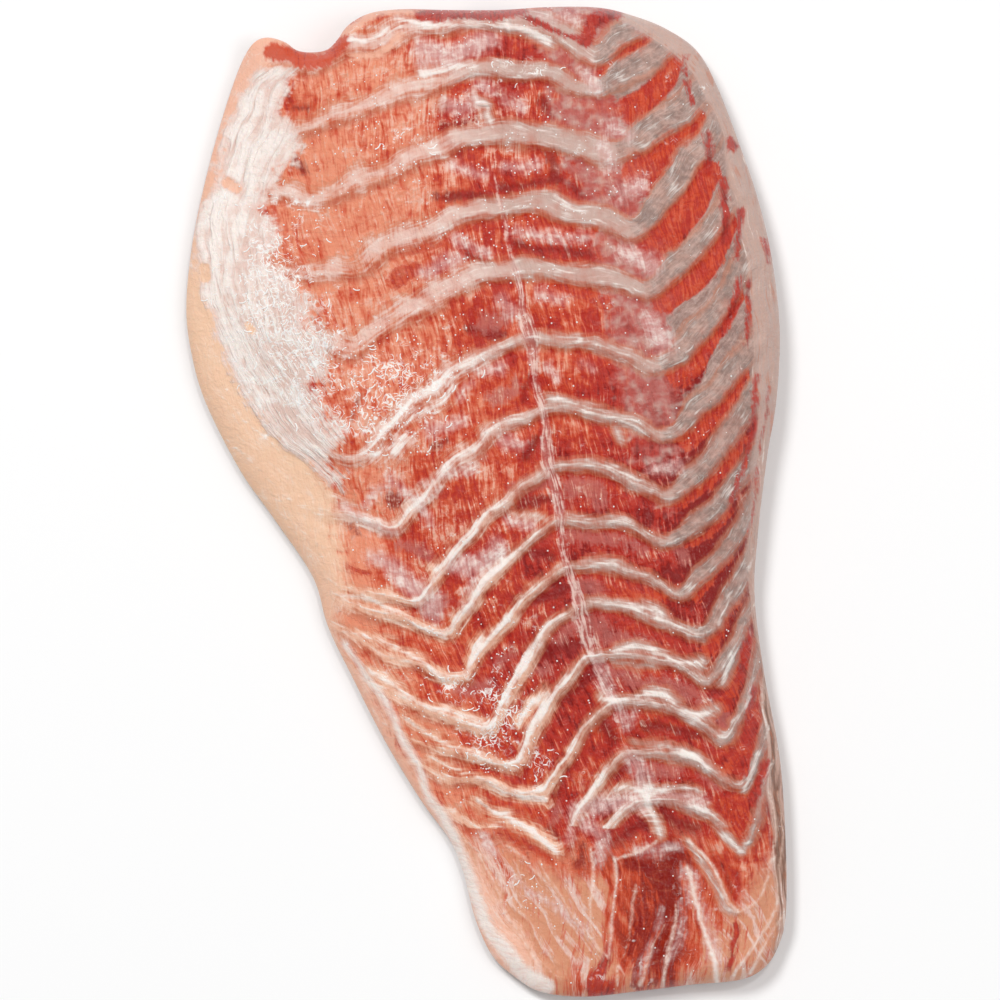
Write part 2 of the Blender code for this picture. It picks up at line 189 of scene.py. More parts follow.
# How finely curves are followed and points are laid out, in millimetres unless they are counts.
OUTLINE_STEP = 0.8
OUTLINE_CURVE_STEPS = 24
STROKE_CURVE_STEPS = 5
POINTS_AT_ONCE = 4000
HALF_LENGTH = 140
HALF_WIDTH = 86
ROW_SPACING = 0.866
LINE_REACH = 90
LINE_STEP = 0.5

# What a depth or a gap says where no stroke or septum is near.
OUTSIDE = -9.0
NO_SEPTUM = 99.0
WIDEST_GAP = 12.0

# Strokes on the surface: the points each one passes, then its half width at start and end -------

TENDONS = (
    (((29.5, -98.5), (30, -107), (30, -116), (30.5, -124), (34, -129)), 0.7, 0.5),
    (((36, -101), (36.5, -110), (36, -119), (34, -128.5)), 0.8, 0.5),
    (((43, -108.5), (41, -117), (38.5, -128.5)), 0.5, 0.3),
    (((56.5, -103), (60.5, -115.5), (63, -125.5), (65.5, -135.5)), 0.7, 1.2),
    (((57, -95), (62.5, -100.5), (67, -109.5), (71.5, -116)), 0.9, 0.6),
    (((71.5, -116), (76, -113.5), (79.5, -107.5), (82, -99)), 0.6, 0.5),
    (((70, -134.5), (75, -126.5), (79.5, -119), (82.5, -111.5)), 0.9, 0.6),
    (((75, -133.5), (78, -127), (83, -117)), 0.9, 0.4),
    (((15.5, -102), (21.5, -112), (30, -124.5)), 0.4, 0.5),
    (((3, -108.5), (8, -118.5), (14.5, -128.5), (21, -135)), 0.3, 0.3),
    (((37, -101), (42, -98.5), (48, -96.5)), 0.7, 0.6),
    (((49.5, -136.5), (52, -127), (53.5, -114)), 0.9, 0.4),
    (((-9, -94), (0, -101), (8, -113), (14, -122), (21, -130)), 0.6, 0.4),
    (((-3, -99), (3, -110), (9, -122), (15, -131)), 0.5, 0.4),
    (((6, -97), (15, -105), (24, -116), (31, -127)), 0.5, 0.3),
    (((43.5, -136.5), (47, -127.5), (50, -120)), 0.7, 0.3),
    (((37.5, -137), (37, -130.5), (39.5, -134)), 0.7, 0.4),
    (((80.5, -81.5), (81.5, -94.5), (80, -107)), 0.6, 0.5),
    (((83, -81.5), (83.5, -98.5), (82, -113)), 0.5, 0.3),
)
EDGE_FAT = (
    (((-17.5, -80), (-11, -92), (-5.5, -105), (1.5, -121.5), (9.5, -132),
      (16.5, -137.5)), 1.1, 2.6),
    (((-40, -40.5), (-30.5, -54), (-23, -68), (-15.5, -84), (-7, -102)), 1.0, 1.2),
)
CREASES = (
    (((-79.5, 34.5), (-69.5, 24.5), (-55.5, 12), (-44, 3.5)), 0.7, 0.5),
    (((-74, 19), (-64, 9), (-52, -1), (-42, -5)), 0.6, 0.4),
    (((-63.5, 2), (-52.5, -8), (-39, -16)), 0.6, 0.4),
    (((-69, 7), (-57, -6.5), (-43, -18)), 0.5, 0.4),
    (((-45.5, -21.5), (-38, -25.5), (-27, -31)), 0.7, 0.5),
)
RED_STREAKS = (
    (((-60.5, 127), (-56, 126), (-51.5, 125), (-46.5, 125), (-42.5, 127), (-39, 130)), 2.3, 1.6),
    (((-18.5, 138), (-13, 137.2), (-7.5, 137.2), (-1.5, 137.6), (4, 137.8), (10, 138)), 1.7, 1.4),
    (((27.5, 130.5), (29.5, 133.5), (33, 136.5), (36.5, 139)), 2.1, 2.5),
    (((11, 136), (16.5, 134), (21.5, 132), (28, 130.5)), 0.9, 0.6),
    (((34.5, -125), (33, -131), (31, -136), (33.5, -138.5)), 0.6, 3.4),
    (((70.5, -120), (69.5, -125.5), (68.5, -132)), 0.9, 0.7),
    (((70.5, -104.5), (71.5, -108.5), (71, -111.5)), 1.1, 0.6),
    (((57, 118), (58, 113)), 0.9, 0.6),
    (((62, 104), (63, 100), (63, 92.5)), 0.7, 0.9),
    (((56.5, 125.5), (57, 119.5)), 0.3, 0.3),
    (((69, 101), (70.5, 100)), 1.4, 1.1),
    (((67.5, 91.5), (67, 83), (67.5, 73)), 0.9, 1.1),
    (((72, 81.5), (71.5, 74.5), (71, 68)), 0.9, 0.6),
    (((71, 62.5), (69.5, 54.5), (67, 48.5)), 0.9, 1.1),
    (((74, 61.5), (74.5, 54.5), (73, 44.5)), 0.7, 0.4),
    (((78.5, 74.5), (79.5, 68)), 0.6, 0.3),
    (((77, 36), (76, 29), (74.5, 17.5), (72.5, 9), (70, 0.5)), 0.5, 0.7),
    (((80, 33), (78.5, 23), (77, 12), (75.5, 0.5), (74, -8)), 0.0, 0.1),
    (((74, -39), (72.5, -46), (71.5, -50.5)), 1.1, 0.9),
    (((75.5, -53.5), (75, -62), (73.5, -69), (72.5, -76)), 1.4, 1.4),
    (((79, -74.5), (77.5, -80), (75.5, -84.5)), 1.4, 1.1),
)
PEACH_RIM = (
    (((-40, 132), (-37, 135), (-31.5, 137.5), (-24.5, 138.5), (-18.5, 139)), 1.7, 1.1),
    (((-37, 125.5), (-31.5, 126.5), (-24.5, 131)), 0.9, 1.1),
    (((-1, -116), (2.5, -123.5), (6, -129), (9.5, -133)), 1.4, 1.1),
    (((-65, 128), (-70, 114), (-76, 97)), 2.6, 0.8),
    (((-65.5, 127), (-63, 129.5), (-59, 129.5)), 3.0, 1.5),
)
# White tissue, and glossy strips on the crowns of the septa that are painted highlights in the same
# white.
WHITE_TISSUE_AND_GLEAMS = (
    (((-38, 130), (-34, 130.5), (-28.5, 132.5), (-24, 133.5)), 1.3, 1.0),
    (((-25, 136), (-16, 135), (-7, 134), (1, 134.5), (7.5, 134), (14, 131.5),
      (18.5, 129)), 1.1, 1.4),
    (((-17.5, 120.5), (-12.5, 122), (-7.5, 123.5), (-2.5, 122.5)), 1.7, 1.1),
    (((-18.5, 118.5), (-11.5, 119), (-4, 120), (4, 121), (12.5, 122.5)), 0.5, 0.5),
    (((-2.5, 113), (1, 112), (0.5, 109), (2, 105.5)), 1.3, 1.0),
    (((-13, 114), (-12, 111)), 0.4, 0.3),
    (((-20, 96.5), (-16, 99), (-11.5, 100.5), (-6, 101.5)), 0.7, 0.6),
    (((-5.5, 81), (-11, 79.5), (-16, 76.5)), 0.6, 0.4),
    (((20, 86), (24.5, 83), (29, 81)), 1.1, 0.6),
    (((5, 82), (9.5, 84)), 0.9, 0.6),
    (((20, 65), (25, 64.5), (30, 63), (33, 62)), 1.0, 0.5),
    (((19, 47), (24.5, 46.5), (28.5, 45), (32.5, 43), (38.5, 40)), 0.9, 0.9),
    (((-13, 28), (-9, 33), (-4.5, 38.5), (1, 41.5), (8.5, 44.5)), 1.0, 0.7),
    (((-32.5, 13), (-26.5, 15.5), (-24, 20.5), (-18, 25.5), (-13, 28)), 1.1, 1.1),
    (((-25.5, 14), (-23, 18)), 2.0, 1.4),
    (((17.5, 28.5), (25, 28), (31.5, 26.5), (35.5, 24), (41.5, 21), (46.5, 19.5)), 0.9, 0.6),
    (((37, 20), (37.5, 17.5)), 0.7, 0.6),
    (((21.5, 11), (29.5, 10.5), (36.5, 9.5), (41.5, 7.5), (45, 4.5), (49.5, 1.5)), 0.7, 0.6),
    (((33.5, 10), (38, 9), (41, 7.5)), 1.3, 1.0),
    (((56, 7.5), (58, 9.5), (60.5, 11.5), (64.5, 13)), 1.0, 0.4),
    (((8, -3), (14, -4), (18.5, -6.5)), 0.3, 0.3),
    (((22.5, -4), (32.5, -4.5), (39.5, -5.5), (42.5, -7.5), (46.5, -10), (50.5, -11.5)), 0.5, 0.5),
    (((58, -9), (60, -8)), 0.7, 0.6),
    (((28, -16.5), (35, -17), (41, -18.5), (47, -21.5)), 0.7, 0.5),
    (((-44, 1), (-38, 0.5)), 0.3, 0.7),
    (((-40, -3), (-34.5, -3.5), (-29, -6), (-25.5, -9)), 1.0, 0.6),
    (((-14, -18.5), (-10, -15.5), (-7, -12.5), (-3, -8)), 1.7, 1.4),
    (((-4.5, -28), (-1, -23.5), (4, -18)), 1.7, 1.1),
    (((65, -34), (67, -31), (69, -28)), 1.1, 0.7),
    (((67, -51), (69, -46), (71.5, -40.5), (73.5, -33.5)), 1.3, 0.7),
    (((69.5, -62.5), (72.5, -59), (74.5, -54.5)), 1.0, 0.9),
    (((73, -81), (74.5, -77.5), (75.5, -74), (77, -70.5)), 1.4, 1.0),
    (((72.5, -97.5), (74.5, -94), (76, -89.5), (77.5, -85)), 0.6, 0.7),
    (((28, -28.5), (32.5, -28), (43.5, -29.5), (47, -31), (51.5, -34.5), (56.5, -37),
      (61, -39)), 0.7, 0.6),
    (((43.5, -29.5), (48, -30.5), (50.5, -32.5)), 1.3, 0.9),
    (((35.5, -42.5), (39.5, -41.5), (45, -41), (49.5, -42.5), (55, -45.5), (61, -45.5)), 0.9, 1.4),
    (((35.5, -43.5), (37, -45.5), (42, -46), (47, -45)), 0.3, 0.3),
    (((32.5, -55.5), (39.5, -55.5), (46, -54), (50.5, -55.5), (55, -58), (59.5, -59.5),
      (64.5, -59)), 1.1, 1.0),
    (((45, -54), (49.5, -54.5), (53.5, -56.5)), 1.6, 1.4),
    (((60.5, -60.5), (64, -64.5), (67, -67.5)), 0.5, 0.5),
    (((42, -67.5), (49.5, -68.5), (55, -70.5), (60, -71.5), (63.5, -75.5), (67.5, -79)), 0.7, 0.7),
    (((55, -71), (59.5, -72.5), (63, -75.5)), 1.8, 1.4),
    (((45, -81.5), (55, -81), (59, -81.5)), 1.0, 0.6),
    (((34, -83), (40, -80.5), (45, -81.5)), 0.7, 1.0),
    (((46, -81), (46, -86.5), (47.5, -90.5), (49, -95)), 2.0, 0.7),
    (((61.5, -85.5), (65, -90.5), (68.5, -95), (71.5, -99)), 0.6, 0.9),
    (((56.5, -95), (60.5, -101), (65, -108.5), (68.5, -114), (70.5, -116)), 0.6, 0.9),
    (((-1.5, -39), (-4.5, -45.5), (-5.5, -50.5)), 1.4, 0.9),
    (((17.5, -53.5), (12.5, -57.5), (10, -63)), 1.4, 1.1),
    (((-44, -25.5), (-35, -27), (-26.5, -31), (-18.5, -35.5), (-11.5, -37.5)), 1.1, 1.1),
    (((-40, -37), (-31, -38.5), (-24, -41.5), (-17.5, -46), (-12, -49.5)), 0.9, 1.3),
    (((-32.5, -47), (-24, -53.5), (-15.5, -58), (-7, -60), (1.5, -62.5)), 1.0, 1.3),
    (((-24, -59.5), (-13.5, -67), (-4.5, -71), (3, -74.5)), 0.9, 1.1),
    (((-16, -72.5), (-7.5, -75.5), (0.5, -79.5), (9.5, -83), (17, -84.5)), 0.9, 1.3),
    (((-2.5, -84.5), (4, -88), (12.5, -93), (20, -98.5)), 1.1, 1.6),
    (((5.5, -88.5), (9.5, -91.5), (14, -93.5)), 1.4, 1.1),
)
FILMS = (
    (((-17.5, 127.5), (-10, 126), (-4.5, 128), (1, 130.5)), 3.6, 3.0),
    (((-17.5, 123.5), (-11.5, 124.5), (-6, 126)), 2.6, 2.2),
    (((9, 137.5), (16, 137), (24, 136.5)), 1.2, 1.8),
    (((40, 136.5), (45, 133.5)), 1.6, 1.8),
    (((-11, 111.5), (-7, 111), (-3, 113.5)), 2.3, 1.7),
    (((-9.5, 95.5), (-4.5, 93.5), (0, 92)), 1.4, 1.1),
    (((-17, 64.5), (-13, 67), (-8.5, 68)), 2.3, 2.3),
    (((-8, 73), (-3, 71.5), (1, 70.5)), 1.7, 1.1),
    (((-0.5, 117.5), (2.5, 115.5)), 1.7, 1.1),
    (((5.5, 113), (9.5, 110.5)), 1.4, 1.4),
    (((6, 94.5), (14, 95)), 1.7, 1.4),
    (((8.5, 75.5), (18, 75), (28.5, 73.5)), 1.4, 1.4),
    (((15.5, 58.5), (21.5, 56.5)), 1.4, 1.4),
    (((18, 38.5), (20, 35.5)), 1.3, 1.1),
    (((26.5, 39), (30, 37)), 1.0, 1.0),
    (((35, 106), (40, 103.5)), 2.0, 2.3),
    (((38, 86.5), (43.5, 88.5)), 2.3, 2.3),
    (((35.5, 95), (32.5, 100)), 2.0, 1.7),
    (((39.5, 70.5), (47, 66.5)), 2.3, 2.6),
    (((46, 51), (50, 44.5)), 2.6, 3.1),
    (((48, 9), (55, 10)), 1.4, 1.7),
    (((29, 121.5), (31.5, 116)), 1.7, 2.0),
    (((-31, -15.5), (-25, -20), (-18.5, -25.5), (-14.5, -30)), 2.6, 3.6),
    (((-9, -18), (-2.5, -18), (3, -14)), 3.4, 2.6),
    (((-41, -1), (-34, -5), (-26, -8)), 1.8, 2.0),
    (((-27, 6), (-20, 1), (-16, -6)), 1.8, 1.6),
    (((-6, -30), (-3, -22), (3, -12)), 1.6, 1.8),
    (((-17.5, 5.5), (-11, 7.5), (-4.5, 9.5)), 1.1, 1.1),
    (((-34.5, -1), (-30.5, 3), (-25, 4.5)), 1.4, 1.1),
    (((-16.5, 20.5), (-11.5, 21.5), (-7.5, 23)), 2.0, 1.7),
    (((-18.5, 0.5), (-13, 4)), 0.9, 0.9),
    (((-4.5, 33), (-7, 30)), 1.1, 1.4),
    (((4, 57), (7.5, 54)), 1.7, 1.7),
    (((-2.5, 37), (4, 38)), 1.4, 1.7),
    (((5.5, 17.5), (9.5, 15.5)), 2.0, 1.7),
    (((7, -5), (12.5, -6)), 1.4, 1.4),
    (((31.5, -44), (33.5, -49.5), (35, -54)), 2.0, 1.7),
    (((35.5, -56), (38.5, -60), (40, -63), (42.5, -58.5)), 1.7, 1.1),
    (((41, -72.5), (43.5, -76.5), (45, -81)), 2.4, 2.8),
    (((25.5, -87.5), (32.5, -85.5), (43.5, -84), (55, -83.5), (60.5, -84.5)), 2.7, 1.9),
    (((25, -88), (29.5, -92.5), (33.5, -94.5)), 1.7, 2.0),
    (((33.5, -94.5), (32.5, -98.5), (31, -102)), 2.0, 1.1),
    (((43.5, -84.5), (45.5, -88)), 1.4, 1.1),
    (((23, -95), (24.5, -90), (26.5, -86.5)), 1.4, 1.7),
    (((43.5, -98.5), (50, -98.5), (54, -97.5)), 1.4, 1.1),
    (((56, -104.5), (58, -107), (58, -113)), 1.1, 1.1),
    (((49.5, -114), (48, -122.5), (45, -130), (43, -134)), 0.4, 0.5),
    (((55, -114), (54.5, -122.5), (51.5, -131)), 0.7, 0.6),
    (((60.5, -114), (63, -121.5), (64.5, -130)), 1.1, 1.7),
    (((9.5, -106.5), (16.5, -113), (23, -117), (29, -121.5)), 1.0, 1.0),
    (((0, -94.5), (2.5, -98.5)), 1.4, 1.4),
)
DULL_FILMS = (
    (((24.5, 4.5), (30, 3.5), (33, 0)), 3.4, 2.3),
    (((24.5, -9), (34, -10), (45, -13)), 2.6, 1.7),
    (((27, -24), (33.5, -25)), 2.6, 2.0),
    (((30, -34), (35.5, -38.5), (45.5, -39)), 2.6, 2.0),
    (((9.5, -48), (16.5, -47.5)), 2.0, 1.7),
    (((47, -75.5), (54, -75)), 2.8, 2.6),
    (((7.5, 3), (15.5, 5.5)), 2.0, 2.3),
    (((-0.5, 50), (5.5, 52)), 2.8, 2.6),
    (((2.5, 29), (7.5, 32.5)), 2.6, 2.3),
    (((0, 17.5), (-4.5, 9)), 1.7, 1.7),
    (((38, 57), (43.5, 55.5)), 2.3, 2.3),
    (((21, -39), (26.5, -34)), 2.0, 2.3),
    (((60.5, -76), (64, -79)), 2.3, 2.3),
    (((60.5, -56), (67.5, -62.5)), 2.6, 2.6),
    (((20, -86), (18.5, -89)), 1.7, 2.0),
    (((49.5, 18.5), (52.5, 14.5)), 2.0, 2.0),
    (((-13, -28), (-17, -31.5)), 2.8, 2.3),
    (((-24.5, -12), (-16, -15)), 2.0, 1.7),
    (((43.5, 39), (49.5, 29)), 2.8, 2.6),
    (((56.5, -16.5), (54, -13)), 2.0, 1.7),
    (((7.5, 114), (4, 116)), 2.0, 2.0),
    (((21, 111), (28, 105.5)), 2.6, 2.6),
    (((22.5, 94.5), (30, 91.5)), 2.3, 2.6),
    (((35, -47.5), (43.5, -50.5), (58, -53.5)), 2.3, 2.3),
    (((-7.5, -53.5), (1, -51)), 2.0, 1.7),
    (((4, -46), (7.5, -42)), 1.7, 1.7),
)
DEEP_MUSCLE = (
    (((-11.5, 105), (-6, 106.5), (-3, 108.5)), 1.4, 1.4),
    (((15.5, 113), (19.5, 109)), 1.7, 1.4),
    (((18, 97.5), (19, 90.5)), 1.7, 1.4),
    (((-13.5, 86.5), (-5, 86), (3, 84)), 1.7, 2.0),
    (((5, 88.5), (13, 90), (21.5, 90), (27, 86.5)), 1.4, 1.1),
    (((9, 72.5), (13, 71), (20, 71.5), (30, 69)), 1.7, 1.1),
    (((-4.5, 69.5), (1.5, 66.5)), 2.0, 2.0),
    (((-4.5, 48.5), (4.5, 47.5)), 1.7, 2.0),
    (((12.5, 34.5), (11, 29)), 0.9, 1.1),
    (((11, 12.5), (14.5, 17)), 2.0, 1.7),
    (((3.5, -3), (17, 1)), 2.0, 1.7),
    (((1, -17), (9.5, -14), (18.5, -15.5)), 2.3, 1.7),
    (((9, -28.5), (21.5, -24.5)), 2.0, 2.0),
    (((13.5, -43.5), (27, -39.5)), 2.0, 2.0),
    (((22.5, -54.5), (30.5, -48)), 2.0, 1.7),
    (((31, -61), (36.5, -67)), 2.3, 2.0),
    (((33, -78), (39.5, -75.5)), 1.4, 1.7),
    (((20, -82), (21.5, -78)), 1.7, 1.4),
    (((17, -91.5), (20, -94.5)), 1.4, 1.4),
    (((35.5, -96.5), (42, -92), (46, -90.5)), 1.7, 1.4),
    (((50.5, -89), (59.5, -91.5)), 2.0, 1.7),
    (((45, -63), (62, -65.5)), 2.0, 1.4),
    (((40, -102), (46.5, -103.5)), 2.3, 2.0),
    (((50.5, -98), (54, -99), (52, -107)), 1.4, 1.4),
    (((50, -104.5), (49, -113)), 1.1, 1.1),
    (((49.5, -114), (47, -121.5), (43.5, -130), (42.5, -137)), 1.4, 1.7),
    (((54.5, -113), (53.5, -118.5)), 1.0, 1.1),
    (((48.5, -127), (46.5, -135.5)), 1.4, 2.0),
    (((52.5, -131), (51.5, -137)), 1.1, 1.4),
    (((45, -111.5), (43.5, -117), (41, -127)), 1.0, 1.1),
    (((27, -97.5), (26, -102)), 1.4, 1.4),
    (((60.5, -24), (65, -20.5)), 1.4, 1.4),
    (((43.5, 92.5), (47, 90)), 1.4, 1.1),
    (((-38.5, -6.5), (-36.5, -9.5)), 1.1, 0.9),
    (((-26.5, 0.5), (-21.5, -1.5)), 2.3, 1.7),
    (((-14, 16), (-11.5, 17.5)), 1.7, 1.4),
    (((-35, 30.5), (-38, 23)), 0.9, 0.9),
    (((-55.5, 116), (-55, 114)), 1.1, 0.9),
    (((-54.5, 111.5), (-50, 110.5)), 0.9, 1.1),
    (((-53.5, 97.5), (-51.5, 93.5)), 1.4, 1.4),
    (((42.5, 71), (41.5, 68)), 0.9, 0.9),
)
BRIGHT_MUSCLE = (
    (((34.5, 120.5), (38, 124.5), (42.5, 129), (46, 134)), 3.0, 2.2),
    (((41.5, 110.5), (46.5, 115), (50.5, 119.5), (53.5, 125.5)), 3.3, 2.2),
    (((43.5, 92), (48.5, 97), (53.5, 102), (58.5, 108.5)), 3.8, 2.6),
    (((47, 71.5), (52.5, 76.5), (58, 84), (63.5, 93)), 4.0, 2.6),
    (((50.5, 57.5), (58, 62.5), (64, 69.5), (68, 78)), 3.4, 2.4),
    (((55, 35), (61.5, 44), (66.5, 51), (70, 58)), 3.0, 2.0),
    (((56, 18), (62, 22), (67, 28), (72, 36)), 3.0, 1.8),
    (((54, 0.5), (60.5, 4.5), (67, 9.5), (71.5, 17)), 3.0, 1.8),
    (((58, -12.5), (64, -8), (69, -1.5)), 1.4, 1.1),
    (((59.5, -25), (64.5, -20), (68.5, -16)), 2.6, 1.4),
    (((62.5, -41.5), (67, -34), (70.5, -29)), 2.3, 1.1),
    (((66.5, -58), (71, -50.5), (72.5, -46)), 2.0, 1.1),
    (((68.5, -67.5), (72.5, -62.5)), 1.4, 1.1),
    (((66.5, -76.5), (70.5, -71)), 1.4, 1.1),
    (((65, -86), (71.5, -92.5), (73.5, -84.5)), 3.4, 1.7),
    (((4, -58.5), (7.5, -62)), 2.6, 2.6),
    (((14, -75.5), (13, -79.5)), 2.0, 2.3),
    (((35, -25), (49.5, -27)), 1.7, 1.4),
    (((0.5, 116), (-3, 117), (-9.5, 117)), 1.4, 1.1),
    (((9.5, 81), (21, 79.5), (29.5, 76.5)), 1.1, 1.1),
    (((15.5, 61), (24.5, 60), (33.5, 56)), 1.1, 1.1),
    (((4, -92.5), (10, -96.5), (18.5, -101)), 1.4, 1.4),
    (((-1.5, -83.5), (7.5, -86), (15.5, -90)), 1.1, 1.4),
    (((-18.5, -58.5), (-13, -62)), 1.1, 1.4),
    (((-39.5, -18), (-33, -20)), 1.1, 1.1),
    (((-24.5, 71.5), (-16, 73), (-7, 76.5)), 0.9, 1.1),
    (((-24.5, 63), (-20, 65.5)), 1.7, 1.4),
)
HOLES = (
    (((-73, 90), (-71, 89)), 1.6, 1.4),
    (((-80, 66), (-79.5, 63)), 1.6, 1.6),
    (((-67, 50), (-66, 48)), 1.1, 1.1),
)

# Borders between kinds of surface, as x at given y ----------------------------------------------

FLAP_STATIONS = (131, 123.5, 117.5, 109, 97, 84, 57, 43, 29, 18.5, 5.5, -3.5, -16.5, -28, -39,
                 -50.5, -67.5, -81.5, -98.5, -113, -130)
FLAP_X = (-54, -60.5, -67.5, -71.5, -77, -81, -79.5, -74.5, -66.5, -59.5, -45.5, -42.5, -40, -40,
          -41, -33, -24.5, -16, -4.5, 4, 15.5)
FILM_OUT_STATIONS = (126, 123, 117, 109.5, 100, 91.5, 77, 57, 43, 29, 19, 6)
FILM_OUT_X = (-52.5, -63.5, -69, -71, -76, -77, -82, -79.5, -74.5, -66.5, -60, -45.5)
FILM_IN_STATIONS = (124.5, 119.5, 114, 105.5, 95.5, 85.5, 75.5, 68, 60, 51.5, 37.5, 26, 17.5, 6)
FILM_IN_X = (-50, -55, -57, -54.5, -56, -63.5, -58.5, -64.5, -54, -51, -47, -47.5, -42, -43)
BACK_LINE_STATIONS = (139.5, 128, 119.5, 111, 101, 88.5, 74.5, 57, 43, 26, 9, -8, -25, -39, -56,
                      -73, -90, -104.5)
BACK_LINE_X = (32.5, 51.5, 59, 64, 67, 69.5, 72.5, 74.5, 75.5, 76, 75.5, 74, 74, 76.5, 78, 79.5,
               80, 82)
TAIL_LINE_STATIONS = (-18.5, -1.5, 15.5, 25, 32.5, 43.5, 58, 66.5, 72, 77.5, 84.5)
TAIL_LINE_Y = (-84.5, -93, -102, -103.5, -99, -97.5, -95, -102, -110, -104, -98.5)

# Tones of the muscle: centre, reach across and along, and how much lighter (+) or darker (-).
TONES = (
    (-38, 80, 34, 52, 0.70),
    (-28, 30, 20, 18, 0.25),
    (-38, -6, 16, 20, 0.64),
    (-46, 115, 9, 7, -0.14),
    (-50, 97, 6, 8, -0.10),
    (-52, 75, 4, 6, -0.12),
    (-26, 121, 18, 8, 0.35),
    # these two rows darken the back side: partly the muscle's own tone, partly painted shade where
    # the back turns away from the light
    (66, -10, 13, 50, -0.92),
    (46, 20, 20, 60, -0.30),
    (8, 122, 13, 9, -0.40),
    (-50, 100, 8, 20, 0.25),
    (20, -100, 26, 7, 0.35),
    (-8, 107, 8, 5, -0.35),
    (-15, 72, 10, 5, -0.25),
    (1, 86, 9, 20, -0.26),
    (18, 46, 18, 16, 0.22),
    (-2, 49, 12, 14, -0.15),
    (2, 4, 16, 16, 0.22),
    (-6, -42, 18, 22, 0.16),
    (12, -20, 20, 24, -0.22),
    (21, -50, 20, 20, -0.36),
    (42, -86, 18, 10, -0.60),
    (-22, -74, 16, 22, 0.52),
    (-38, -34, 9, 20, 0.60),
    (4, -99, 18, 10, 0.30),
)
# Where the tail end is redder: centre, reach and amount.
TAIL_REDS = (
    (47, -99, 12, 6, 0.9),
    (46, -122, 7.5, 17, 1.1),
    (52, -108, 5, 12, 0.9),
    (53, -129, 4, 9, 0.6),
    (61, -117, 7, 17, 0.45),
    (38, -120, 4, 12, 0.5),
    (42, -106, 6, 7, 0.4),
    (30, -102, 8, 6, 0.6),
    (68, -102, 5, 14, 0.8),
    (18, -98, 13, 5, 0.9),
    (-2, -92, 9, 3, 0.7),
    (26, -137, 12, 4, 0.5),
)
# Where pale strands cross the muscle most: centre, reach and amount.
VEILS = (
    (-28, 100, 30, 30, 0.9),
    (-30, 60, 26, 24, 0.7),
    (-32, 30, 18, 18, 0.9),
    (-30, -60, 16, 24, 0.5),
    (0, 110, 20, 14, 0.7),
    (-22, -12, 26, 30, 0.8),
    (-26, 120, 18, 10, 0.7),
    (2, 4, 18, 22, 0.4),
    (28, -45, 20, 14, 0.3),
)
# Where melt water stands in drops, drawn near white as painted highlights, and where torn tissue
# stands up in threads and its wet wrinkles get painted highlights.
DROPS = (
    (-28, 32, 22, 18, 1.0),
    (0, -58, 20, 24, 1.0),
    (-58, 60, 16, 26, 0.6),
    (6, 72, 20, 24, 0.55),
    (-22, 100, 30, 26, 0.5),
    (10, -112, 12, 16, 0.9),
    (14, 100, 14, 26, 0.4),
)
TATTERS_AND_GLINTS = (
    (-24, 36, 15, 9, 0.8),
    (-30, 22, 14, 8, 0.7),
    (-61, 64, 11, 18, 0.9),
    (-53, 40, 11, 16, 0.9),
    (4, -58, 7, 10, 0.7),
    (-8, -52, 10, 6, 0.6),
    (14, -74, 7, 8, 0.6),
    (-4, -68, 10, 6, 0.5),
    (9, -112, 5, 9, 0.5),
    (10, 122, 10, 4, 0.4),
    (-20, 102, 9, 3, 0.5),
)


def linear(code):
    """An sRGB hex code as linear RGBA."""
    parts = [int(code[i:i + 2], 16) / 255 for i in (0, 2, 4)]
    even = [c / 12.92 if c <= 0.04045 else ((c + 0.055) / 1.055) ** 2.4 for c in parts]
    return (*even, 1.0)


# What a user would change -----------------------------------------------------------------------

def colour(name, description, code):
    return FloatVectorProperty(name=name, description=description, subtype="COLOR", size=4,
                               min=0.0, max=1.0, default=linear(code))


def length(name, description, millimetres):
    return FloatProperty(name=name, description=description, subtype="DISTANCE", unit="LENGTH",
                         min=0.0, precision=5, default=millimetres * MM)


class FilletColours(bpy.types.PropertyGroup):
    deep: colour("Deep muscle", "Dark red muscle beside the seam", "87110C")
    red: colour("Red muscle", "Red muscle of most segments", "B42B1E")
    orange: colour("Orange muscle", "Orange-red muscle towards the back", "CC4725")
    salmon: colour("Salmon muscle", "Pale muscle of the upper belly side", "EA9271")
    strand: colour("Pale strands", "Thin tissue between the bundles of fibres", "F1C2AF")
    dull: colour("Dull film", "Muscle seen through a thin film", "B9665E")
    fat: colour("Fat", "Warm fat between the segments", "C9AA9F")
    # grey fat of the back, darkened in part as painted shade of the side that turns away from the
    # light
    grey_fat_and_shade: colour("Grey fat", "Cooler fat of the back troughs", "90766D")
    fat_pink: colour("Pink fat", "Fat of the upper belly side", "EFD2C7")
    fat_warm: colour("Belly fat", "Peach fat of the lower belly arms", "F3C0A5")
    rind: colour("Thin fat", "Muscle seen through thin fat", "CC7C5A")
    # painted highlight: the white of glints on wet wrinkles and along the septa, also given to the
    # tissue threads
    glint: colour("Sheen", "Wet white wrinkles of loose tissue", "FFFDFA")
    cream: colour("Septum", "White sheets of connective tissue", "FBF0E9")
    film: colour("Film", "Milky film left on the muscle", "D6A49E")
    lining: colour("Lining", "Belly lining", "FCF1EA")
    # also painted shade in the hollows of the lining's wrinkles
    lining_shade: colour("Lining shade", "Belly lining where it thins", "E6C6BA")
    flap: colour("Belly flap", "Bare belly flap", "F3C8A8")
    blush: colour("Lower flap", "Pinker flap towards the tail", "F4BAA0")
    edge: colour("Back edge", "Brown-grey trimmed edge", "82604F")
    edge_pale: colour("Pale edge", "Lighter streaks of the trimmed edge", "CFA99A")
    tail: colour("Tail muscle", "Salmon muscle of the tail end", "DB9675")
    tail_red: colour("Tail red", "Redder muscle of the tail end", "8C1C0C")
    skin_side: colour("Skin side", "Silver tissue under the removed skin", "C4AAA2")
    skin_line: colour("Side line", "Dark strip along the middle of the skin side", "8C4A42")
    floor: colour("Floor", "Plain studio floor", "FAFAFA")


